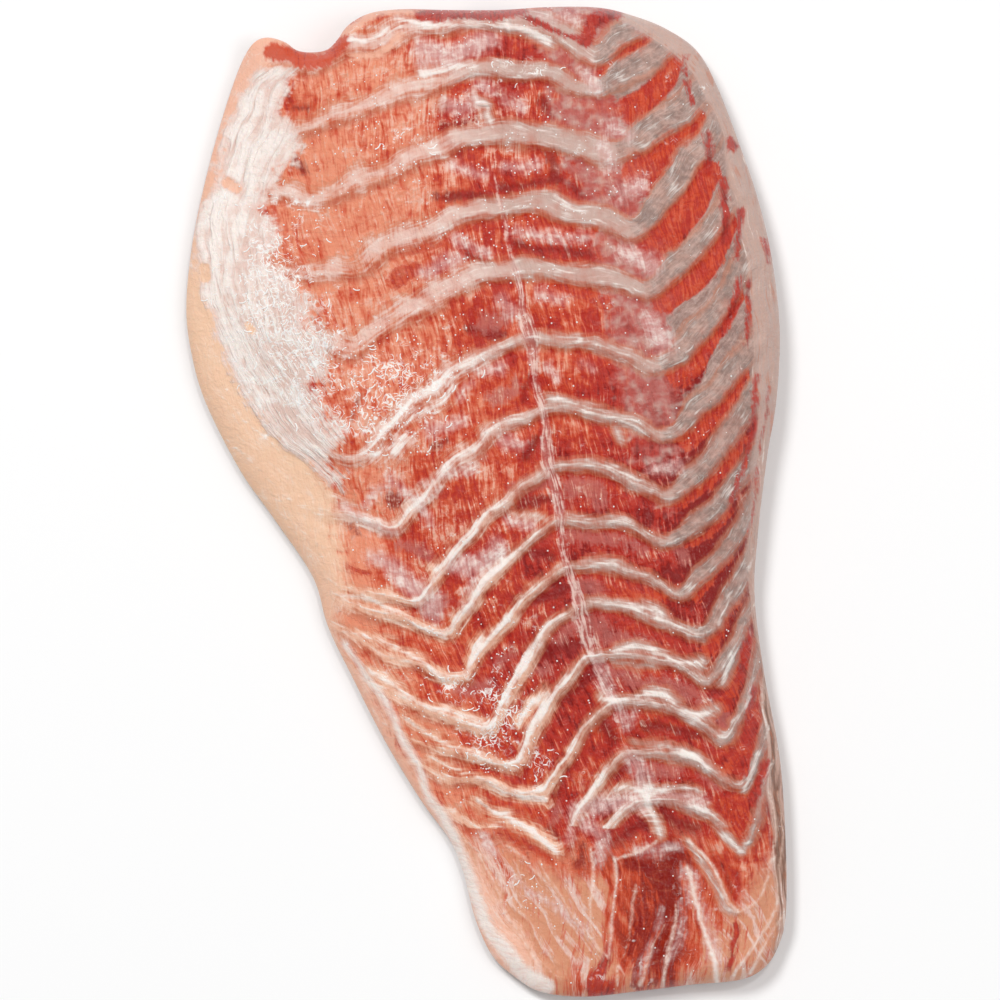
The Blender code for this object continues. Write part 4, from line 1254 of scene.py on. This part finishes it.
    # fat of the back: mottled grey, soft in the trough, with tongues of bright muscle in it
    mixed = step(summed(0.5, (swell, 2.0), (blotch, 1.6), (patch, 0.6)), 0.25, 1.05)
    trough = summed(field("trough"), (swell, 1.2), (patch, 0.5), (blotch, 1.2))
    base = blend(step(trough, 0.25, 1.0, 0.68), base, blend(mixed, c.dull, c.fat))
    grey = summed(field("back_arm"), (sheet, 1.4), (patch, 1.2), (blotch, 1.2), (mottle, 0.4))
    fat_tone = blend(step(grey, 0.45, 1.4), c.fat, c.grey_fat_and_shade)
    back_fat = summed(field("back_fat"), (patch, 0.8), (blotch, 0.8), (fibre, 0.3))
    base = blend(step(back_fat, 0.25, 0.65, 0.95), base, fat_tone)
    edge = summed(field("bright"), (fibre, 0.6), (patch, 0.5), (sheet, 0.8), (blotch, 0.6))
    tongue = step(edge, 0.38, 0.64, 0.95)
    tongue_tone = summed(0.5, (fibre, 3.0), (hair, 1.5), (patch, 2.0))
    tongue_tone = blend(step(tongue_tone, 0.1, 0.9), c.red, c.orange)
    base = blend(maths("MULTIPLY", tongue, 0.9), base, tongue_tone)
    over = step(summed(0.0, (patch, 1.2), (fibre, 1.2), (blotch, 1.2)), 0.2, 0.7, 0.5)
    base = blend(maths("MULTIPLY", tongue, over), base, c.rind)

    # the tail end: long panels of paler muscle
    panel = cloud(grain, (4.0, 50.0, 9.0), 1.0)
    band = cloud(vector(field("inboard"), y, 0.0), (3.0, 40.0, 1.0), 2.0, 0.6)
    tail_tone = summed(field("tail_red"), (panel, 1.0), (band, 1.2), (streak, 1.2), (blotch, 0.9),
                       (fibre, 0.8), (hair, 0.6))
    tail_flesh = blend(step(tail_tone, -0.05, 0.85), c.tail, c.orange)
    tail_flesh = blend(step(tail_tone, 0.55, 1.25), tail_flesh, c.tail_red)
    pink = summed(0.15, (band, 3.0), (thread, 1.0), (blotch, 1.0), (fibre, 0.6))
    pink = step(pink, 0.1, 0.6, 0.8)
    tail_flesh = blend(maths("MULTIPLY", pink, step(tail_tone, 0.7, 0.2)), tail_flesh, c.fat_pink)
    embers = summed(0.0, (streak, 1.8), (fibre, 1.2), (hair, 1.0), (blotch, 1.2))
    tail_flesh = blend(step(embers, 0.05, 0.65, 0.5), tail_flesh, c.orange)
    tail = step(summed(field("tail"), (patch, 0.5), (fibre, 0.5)), 0.18, 0.90)
    base = blend(tail, base, tail_flesh)
    base = blend(maths("MULTIPLY", maths("MULTIPLY", deep, tail), 0.9), base, c.deep)

    # fat along the septa: grey on the back, pinkish on the belly, peach low on the belly
    belly = field("belly")
    soft_tone = blend(step(y, 30.0, -30.0), c.fat_pink, c.fat_warm)
    fat_tone = blend(step(belly, -0.3, 0.7), fat_tone, soft_tone)
    creamy = step(summed(0.0, (sheet, 1.6), (swell, 0.4)), 0.05, 0.45, 0.6)
    fat_tone = blend(creamy, fat_tone, c.cream)
    rough_edge = summed(0.0, (fibre, 0.25), (sheet, 0.65), (hair, 0.15), (blotch, 0.7))
    ragged = maths("MULTIPLY", rough_edge, summed(1.0, (step(belly, 0.1, 0.8), 0.6)))
    fatty = maths("ADD", field("fat"), ragged)
    base = blend(step(fatty, 0.08, 0.42, 0.5), base, c.rind)
    thin = step(fatty, 0.30, 0.80)
    upper_belly = maths("MULTIPLY", step(belly, 0.1, 0.8), step(y, -10.0, 30.0))
    full = summed(0.9, (upper_belly, -0.25), (blotch, 1.0), (swell, 0.6))
    base = blend(maths("MULTIPLY", thin, full), base, fat_tone)
    seam = step(summed(field("seam"), (fibre, 0.6), (patch, 0.8), (blotch, 0.4)), 0.34, 0.72, 0.78)
    seam_tone = step(summed(0.5, (fibre, 2.4), (patch, 1.4), (hair, 1.6)), 0.2, 0.95)
    base = blend(seam, base, blend(seam_tone, c.dull, c.fat_pink))

    # milky films
    film = step(summed(field("film"), (patch, 0.6), (fibre, 0.6), (blotch, 0.7)), 0.22, 0.95, 0.8)
    milk = summed(0.42, (patch, 1.2), (fibre, 0.8), (sheet, 0.8), (blotch, 1.2))
    film_tone = blend(step(milk, 0.2, 1.0), c.film, c.lining)
    base = blend(film, base, film_tone)

    # belly flap, bare and smooth
    flap_tone = blend(step(y, 0.0, -60.0), c.flap, c.blush)
    flap_tone = blend(step(y, 55.0, 100.0, 0.9), flap_tone, c.blush)
    silvery = step(summed(0.35, (thread, 1.2), (blotch, 1.2)), 0.3, 1.0, 0.5)
    flap_tone = blend(silvery, flap_tone, c.lining)
    flap = step(summed(field("flap"), (patch, 0.4), (thread, 0.4), (fibre, 0.4)), 0.28, 0.74, 0.97)
    base = blend(flap, base, flap_tone)

    # trimmed back edge, streaked along the fish
    low_edge = step(y, 10.0, -60.0)
    edge_tone = blend(step(summed(0.5, (streak, 3.4), (fibre, 0.6)), 0.2, 0.8),
                      blend(low_edge, c.fat, c.edge), c.edge_pale)
    edge_rind = step(summed(0.0, (streak, -1.0), (bundle, 0.8)), 0.08, 0.24, 0.6)
    edge_tone = blend(edge_rind, edge_tone, c.rind)
    back = step(summed(field("back"), (streak, 0.5), (patch, 0.3)), 0.30, 0.70, 0.95)
    base = blend(back, base, edge_tone)
    # painted highlights: bright cream streaks along the trimmed back edge
    edge_gleam = step(summed(0.0, (streak, 1.0), (patch, 0.3)), 0.12, 0.24, 0.7)
    base = blend(maths("MULTIPLY", back, edge_gleam), base, c.cream)
    base = blend(step(summed(field("peach"), (patch, 0.6)), 0.36, 0.70, 0.85), base, c.blush)

    # the belly lining, silky and wrinkled, on a bed of flap fat
    base = blend(field("bed"), base, flap_tone)
    frayed = maths("MULTIPLY", thread, step(y, 80.0, 40.0))
    # the lining is painted darker in the hollows of its wrinkles, as shade, besides its own thinner
    # places
    silk = summed(0.68, (wrinkle, 1.8), (frayed, 2.0), (blotch, 1.2), (swell, 0.5),
                  (field("tatters_and_glints"), -0.3))
    lining_tone = blend(step(silk, 0.05, 0.85), c.lining_shade, c.lining)
    torn = summed(field("lining"), (patch, 0.5), (frayed, 0.8), (wrinkle, 0.4), (blotch, 1.1))
    lining = step(torn, 0.34, 0.64, 0.95)
    lining_tone = blend(step(torn, 0.45, 0.95), c.fat_pink, lining_tone)
    base = blend(lining, base, lining_tone)

    # red muscle that shows at the cut edges
    bared = summed(0.4, (fibre, 2.0), (blotch, 1.5), (patch, 1.0), (step(x, -20.0, -40.0), 0.8))
    red_tone = blend(step(bared, 0.0, 0.5), c.deep, c.red)
    red_tone = blend(step(bared, 0.6, 1.1), red_tone, c.orange)
    red = step(summed(field("red"), (streak, 0.5), (patch, 0.5), (fibre, 0.6)), 0.30, 0.66, 0.93)
    base = blend(red, base, red_tone)

    # white tissue: septa, tendons and rim fat; part of the septa's white is painted highlight
    white_tone = step(summed(0.7, (sheet, 1.8), (blotch, 1.0)), 0.15, 0.9)
    white_tone = blend(white_tone, c.fat_pink, c.cream)
    core = summed(field("white"), (sheet, 0.55), (blotch, 0.6), (swell, 0.15), (fibre, 0.1))
    white = step(core, 0.46, 0.82, 0.95)
    base = blend(white, base, white_tone)
    tendon = step(summed(field("tendon"), (streak, 0.3), (patch, 0.3)), 0.30, 0.75, 0.9)
    base = blend(tendon, base, blend(tendon, c.fat_warm, c.cream))
    rim_fat = step(summed(field("rim_fat"), (thread, 0.35), (patch, 0.15)), 0.30, 0.75, 0.9)
    base = blend(rim_fat, base, white_tone)

    # painted highlights: white squiggles where loose tissue is wet, a millimetre or two apart, and
    # bright streaks along the white septa
    loose = step(summed(field("tatters_and_glints"), (blotch, 2.0), (swell, 1.2)), 0.30, 0.85, 0.85)
    base = blend(maths("MULTIPLY", step(glint_squiggle, 0.075, 0.025), loose), base, c.glint)
    gleam = step(summed(field("white"), (sheet, 1.5), (swell, 0.8), (blotch, 0.6)), 1.12, 1.42, 0.9)
    base = blend(gleam, base, c.glint)

    # skin side: silver tissue with a dark strip along the side line
    strip_x = summed(field("across"), (patch, 8.0), (fibre, 6.0))
    strip = maths("MULTIPLY", step(strip_x, -9.0, -3.0), step(strip_x, 10.0, 4.0))
    skin_tone = blend(step(summed(0.5, (mottle, 1.6), (patch, 0.8)), 0.2, 0.8), c.skin_side, c.fat)
    skin_tone = blend(maths("MULTIPLY", strip, 0.75), skin_tone, c.skin_line)
    base = blend(step(field("below"), 0.5, 0.95), base, skin_tone)

    wrinkles = maths("MULTIPLY", lining, summed(0.0, (wrinkle, 2.4), (frayed, 1.6), (mottle, 0.3)))
    height = summed(wrinkles, (fibre, 0.5), (hair, 0.2), (patch, 0.9), (mottle, 0.4), (white, 0.3))
    normal = add(tree, "ShaderNodeBump",
                 {"Strength": 0.8, "Distance": 0.6 * MM, "Height": height})
    film_height = summed(wrinkles, (patch, 1.6), (swell, 2.0), (fibre, 0.3))
    water = add(tree, "ShaderNodeBump",
                {"Strength": 1.0, "Distance": 1.2 * MM, "Height": film_height})
    rough = add(tree, "ShaderNodeMapRange", {"Value": maths("MAXIMUM", white, lining),
                                             "To Min": 0.32, "To Max": 0.46})
    wet = summed(0.1, (step(field("rim"), 0.0, 0.4), 0.6))
    shader = add(tree, "ShaderNodeBsdfPrincipled", {
        "Base Color": base, "Roughness": rough, "Normal": normal, "IOR": 1.4,
        "Subsurface Weight": 0.06, "Subsurface Radius": (1.0, 0.35, 0.2),
        "Subsurface Scale": MM,
        "Specular IOR Level": 0.12, "Coat Weight": wet, "Coat Roughness": 0.13, "Coat IOR": 1.45,
        "Coat Normal": water,
    })
    add_output(tree, shader)
    return material


def add_output(tree, shader):
    """Link a finished shader to the material's output."""
    output = tree.nodes.new("ShaderNodeOutputMaterial")
    tree.links.new(shader, output.inputs["Surface"])


def melt_water():
    """Melt water in drops, coloured near white so that each is a small painted highlight to the
    eye.
    """
    material, tree = new_material("white_glint_melt_water")
    shader = add(tree, "ShaderNodeBsdfPrincipled", {
        "Base Color": (0.98, 0.96, 0.94, 1), "Roughness": 0.08, "IOR": 1.33, "Coat Weight": 0.5,
    })
    add_output(tree, shader)
    return material


def fat_thread(c):
    """Torn threads of connective tissue: white, slightly glossy strands, their white also standing
    in for painted highlights.
    """
    material, tree = new_material("torn_tissue_white_as_glints")
    shader = add(tree, "ShaderNodeBsdfPrincipled", {
        "Base Color": c.glint, "Roughness": 0.3, "IOR": 1.4, "Coat Weight": 0.3,
    })
    add_output(tree, shader)
    return material


# Geometry Nodes ---------------------------------------------------------------------------------

def new_tree(name, inputs):
    """A geometry tree with a mesh in and out and named inputs; returns it and its input node."""
    tree = bpy.data.node_groups.new(name, "GeometryNodeTree")
    tree.interface.new_socket("Mesh", in_out="INPUT", socket_type="NodeSocketGeometry")
    for label, kind in inputs:
        tree.interface.new_socket(label, in_out="INPUT", socket_type=kind)
    tree.interface.new_socket("Mesh", in_out="OUTPUT", socket_type="NodeSocketGeometry")
    return tree, tree.nodes.new("NodeGroupInput")


def finish_tree(tree, geometry, material):
    """Realize the copies, shade them smooth and give them their material."""
    real = add(tree, "GeometryNodeRealizeInstances", {"Geometry": geometry})
    smooth = add(tree, "GeometryNodeSetShadeSmooth", {"Geometry": real})
    dressed = add(tree, "GeometryNodeSetMaterial", {"Geometry": smooth, "Material": material})
    output = tree.nodes.new("NodeGroupOutput")
    tree.links.new(dressed, output.inputs["Mesh"])


def scatter_tree(name, shape, where):
    """Copies of a small shape on the surface, denser where one of its fields is higher."""
    tree, given = new_tree(name, (
        ("Density", "NodeSocketFloat"),
        ("Smallest", "NodeSocketFloat"),
        ("Largest", "NodeSocketFloat"),
        ("Seed", "NodeSocketInt"),
        ("Material", "NodeSocketMaterial"),
    ))
    got = given.outputs
    wet = add(tree, "GeometryNodeInputNamedAttribute", {"Name": where}, data_type="FLOAT")
    below = add(tree, "GeometryNodeInputNamedAttribute", {"Name": "below"}, data_type="FLOAT")
    on_top = add(tree, "FunctionNodeCompare", {"A": below, "B": 0.3}, operation="LESS_THAN")
    density = add(tree, "ShaderNodeMath", {0: wet, 1: got["Density"]}, operation="MULTIPLY")
    points = add(tree, "GeometryNodeDistributePointsOnFaces",
                 {"Mesh": got["Mesh"], "Density": density, "Seed": got["Seed"],
                  "Selection": on_top}, out="Points").node
    spin = add(tree, "FunctionNodeRandomValue", {"Min": 0.0, "Max": math.tau, "Seed": got["Seed"]},
               data_type="FLOAT")
    turn = add(tree, "FunctionNodeAxisAngleToRotation", {"Axis": (0, 0, 1), "Angle": spin})
    facing = add(tree, "FunctionNodeRotateRotation",
                 {"Rotation": points.outputs["Rotation"], "Rotate By": turn},
                 rotation_space="LOCAL")
    size = add(tree, "FunctionNodeRandomValue",
               {"Min": got["Smallest"], "Max": got["Largest"], "Seed": got["Seed"]},
               data_type="FLOAT")
    copies = add(tree, "GeometryNodeInstanceOnPoints",
                 {"Points": points.outputs["Points"], "Instance": shape(tree), "Rotation": facing,
                  "Scale": size})
    finish_tree(tree, copies, got["Material"])
    return tree


def drop_shape(tree):
    """A flattened drop of unit radius."""
    ball = add(tree, "GeometryNodeMeshIcoSphere", {"Radius": 1.0, "Subdivisions": 1})
    return add(tree, "GeometryNodeTransform", {"Geometry": ball, "Scale": (1, 1, 0.5)})


def thread_shape(tree):
    """A curled thread of unit length."""
    curve = add(tree, "GeometryNodeCurveQuadraticBezier",
                {"Resolution": 4, "Start": (-0.5, 0, 0), "Middle": (0.1, 0.3, 0.05),
                 "End": (0.5, 0, 0)})
    profile = add(tree, "GeometryNodeCurvePrimitiveCircle", {"Resolution": 5, "Radius": 0.09})
    return add(tree, "GeometryNodeCurveToMesh",
               {"Curve": curve, "Profile Curve": profile, "Fill Caps": True})


def grow(name, tree, ground, values):
    """Run a tree on a copy of a mesh and keep the result as a plain mesh object."""
    holder = bpy.data.objects.new(name + "_source", ground.copy())
    bpy.context.collection.objects.link(holder)
    modifier = holder.modifiers.new(name, "NODES")
    modifier.node_group = tree
    for item in tree.interface.items_tree:
        if item.in_out == "INPUT" and item.name in values:
            modifier[item.identifier] = values[item.name]
    bpy.context.view_layer.update()
    seen = holder.evaluated_get(bpy.context.evaluated_depsgraph_get())
    mesh = bpy.data.meshes.new_from_object(seen)
    mesh.name = name
    source = holder.data
    bpy.data.objects.remove(holder)
    bpy.data.meshes.remove(source)
    if not mesh.polygons:
        raise RuntimeError(name + " came out empty")
    piece = bpy.data.objects.new(name, mesh)
    bpy.context.collection.objects.link(piece)
    return piece


def settle(piece, *nodes):
    """Hide the model parts a piece replaces, if any, and tie the piece to the model's one body."""
    if nodes:
        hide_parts(*nodes)
    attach(piece, "root")


# Operators --------------------------------------------------------------------------------------

BEAD_SEED = 7
THREAD_SEED = 19


class FILLET_OT_flesh(bpy.types.Operator):
    """Build the fillet itself, with its muscle segments, flap, membrane and skin side"""

    bl_idname = "fillet.flesh"
    bl_label = "Fillet"

    def execute(self, context):
        mesh = fillet_mesh(context.scene.fillet_sizes)
        mesh.materials.append(wet_flesh(context.scene.fillet_colours))
        piece = bpy.data.objects.new("fillet_flesh", mesh)
        context.collection.objects.link(piece)
        settle(piece, "fillet")
        return {"FINISHED"}


class FILLET_OT_moisture(bpy.types.Operator):
    """Scatter drops of melt water, near white as painted highlights, over the wet places"""

    bl_idname = "fillet.moisture"
    bl_label = "Moisture drops"

    def execute(self, context):
        sizes = context.scene.fillet_sizes
        ground = bpy.data.objects["fillet_flesh"].data
        piece = grow("moisture_drops", scatter_tree("moisture", drop_shape, "drops"), ground, {
            "Density": float(sizes.beads), "Smallest": sizes.bead_small,
            "Largest": sizes.bead_large, "Seed": BEAD_SEED, "Material": melt_water(),
        })
        settle(piece)
        return {"FINISHED"}


class FILLET_OT_threads(bpy.types.Operator):
    """Scatter torn threads of connective tissue, white as painted highlights, over the wet places
    """

    bl_idname = "fillet.threads"
    bl_label = "Tissue threads"

    def execute(self, context):
        sizes = context.scene.fillet_sizes
        ground = bpy.data.objects["fillet_flesh"].data
        piece = grow("tissue_threads", scatter_tree("threads", thread_shape, "tatters_and_glints"), ground, {
            "Density": float(sizes.threads), "Smallest": sizes.thread_short,
            "Largest": sizes.thread_long, "Seed": THREAD_SEED,
            "Material": fat_thread(context.scene.fillet_colours),
        })
        settle(piece)
        return {"FINISHED"}


class FILLET_OT_stage(bpy.types.Operator):
    """Lay the plain floor, hang the soft lights and set the camera straight above"""

    bl_idname = "fillet.stage"
    bl_label = "Stage"

    def execute(self, context):
        build_floor(context.scene.fillet_colours)
        build_lights(context)
        build_camera(context)
        return {"FINISHED"}


# Stage ------------------------------------------------------------------------------------------

FRAME_WIDTH = 0.2834
CAMERA_HEIGHT = 4.0
CAMERA_CENTRE = (0.004, 0.0006)
SENSOR = 36.0
FLOOR_HALF = 3.0
FLOOR_DROP = 0.0002
ROOM_LIGHT = 0.36
# name, width, place and power; each one points at the fillet
LAMPS = (
    ("key_softbox", 1.0, (-1.1, 1.6, 3.4), 70.0),
    ("fill_softbox", 2.0, (1.8, 0.0, 3.2), 24.0),
    ("glint_lamp", 0.3, (0.5, 1.0, 3.2), 17.0),
)


def build_floor(c):
    """A wide matt sheet a hair below the fillet, so that the two never share a plane."""
    mesh = bpy.data.meshes.new("studio_floor")
    signs = ((-1, -1), (1, -1), (1, 1), (-1, 1))
    corners = [(FLOOR_HALF * across, FLOOR_HALF * along, -FLOOR_DROP) for across, along in signs]
    mesh.from_pydata(corners, [], [(0, 1, 2, 3)])
    floor = bpy.data.objects.new("studio_floor", mesh)
    bpy.context.collection.objects.link(floor)
    material, tree = new_material("matt_white_paper")
    shader = add(tree, "ShaderNodeBsdfPrincipled", {
        "Base Color": c.floor, "Roughness": 0.9, "Specular IOR Level": 0.1,
    })
    add_output(tree, shader)
    mesh.materials.append(material)


def build_lights(context):
    """A bright room, a soft key light from the upper left, a wide weak one opposite it and a
    small hard one for glints."""
    for name, size, place, power in LAMPS:
        data = bpy.data.lights.new(name, "AREA")
        data.shape = "DISK"
        data.size = size
        data.energy = power
        lamp = bpy.data.objects.new(name, data)
        lamp.location = place
        lamp.rotation_euler = (-Vector(place)).to_track_quat("-Z", "Y").to_euler()
        context.collection.objects.link(lamp)
    world = bpy.data.worlds.new("white_room")
    world.use_nodes = True
    background = world.node_tree.nodes["Background"].inputs
    background["Color"].default_value = (1, 1, 1, 1)
    background["Strength"].default_value = ROOM_LIGHT
    context.scene.world = world
    context.scene.view_settings.view_transform = "Standard"


def build_camera(context):
    """A long lens straight above, which sees the fillet without perspective."""
    data = bpy.data.cameras.new("overhead_camera")
    data.sensor_width = SENSOR
    data.lens = SENSOR * CAMERA_HEIGHT / FRAME_WIDTH
    camera = bpy.data.objects.new("overhead_camera", data)
    camera.location = (*CAMERA_CENTRE, CAMERA_HEIGHT)
    context.collection.objects.link(camera)
    context.scene.camera = camera


# Panel and registration -------------------------------------------------------------------------

BUILDERS = ("fillet.flesh", "fillet.moisture", "fillet.threads", "fillet.stage")


class VIEW3D_PT_fillet(bpy.types.Panel):
    bl_label = "Barramundi fillet"
    bl_space_type = "VIEW_3D"
    bl_region_type = "UI"
    bl_category = "Fillet"

    def draw(self, context):
        for group in (context.scene.fillet_sizes, context.scene.fillet_colours):
            box = self.layout.box()
            for name in group.bl_rna.properties.keys():
                if name not in ("rna_type", "name"):
                    box.prop(group, name)
        for builder in BUILDERS:
            self.layout.operator(builder)


CLASSES = (FilletColours, FilletSizes, FILLET_OT_flesh, FILLET_OT_moisture, FILLET_OT_threads,
           FILLET_OT_stage, VIEW3D_PT_fillet)


def register():
    for item in CLASSES:
        bpy.utils.register_class(item)
    bpy.types.Scene.fillet_colours = PointerProperty(type=FilletColours)
    bpy.types.Scene.fillet_sizes = PointerProperty(type=FilletSizes)


def unregister():
    del bpy.types.Scene.fillet_sizes
    del bpy.types.Scene.fillet_colours
    for item in reversed(CLASSES):
        bpy.utils.unregister_class(item)


def main():
    register()
    for builder in BUILDERS:
        group, name = builder.split(".")
        getattr(getattr(bpy.ops, group), name)()


if __name__ == "__main__":
    main()
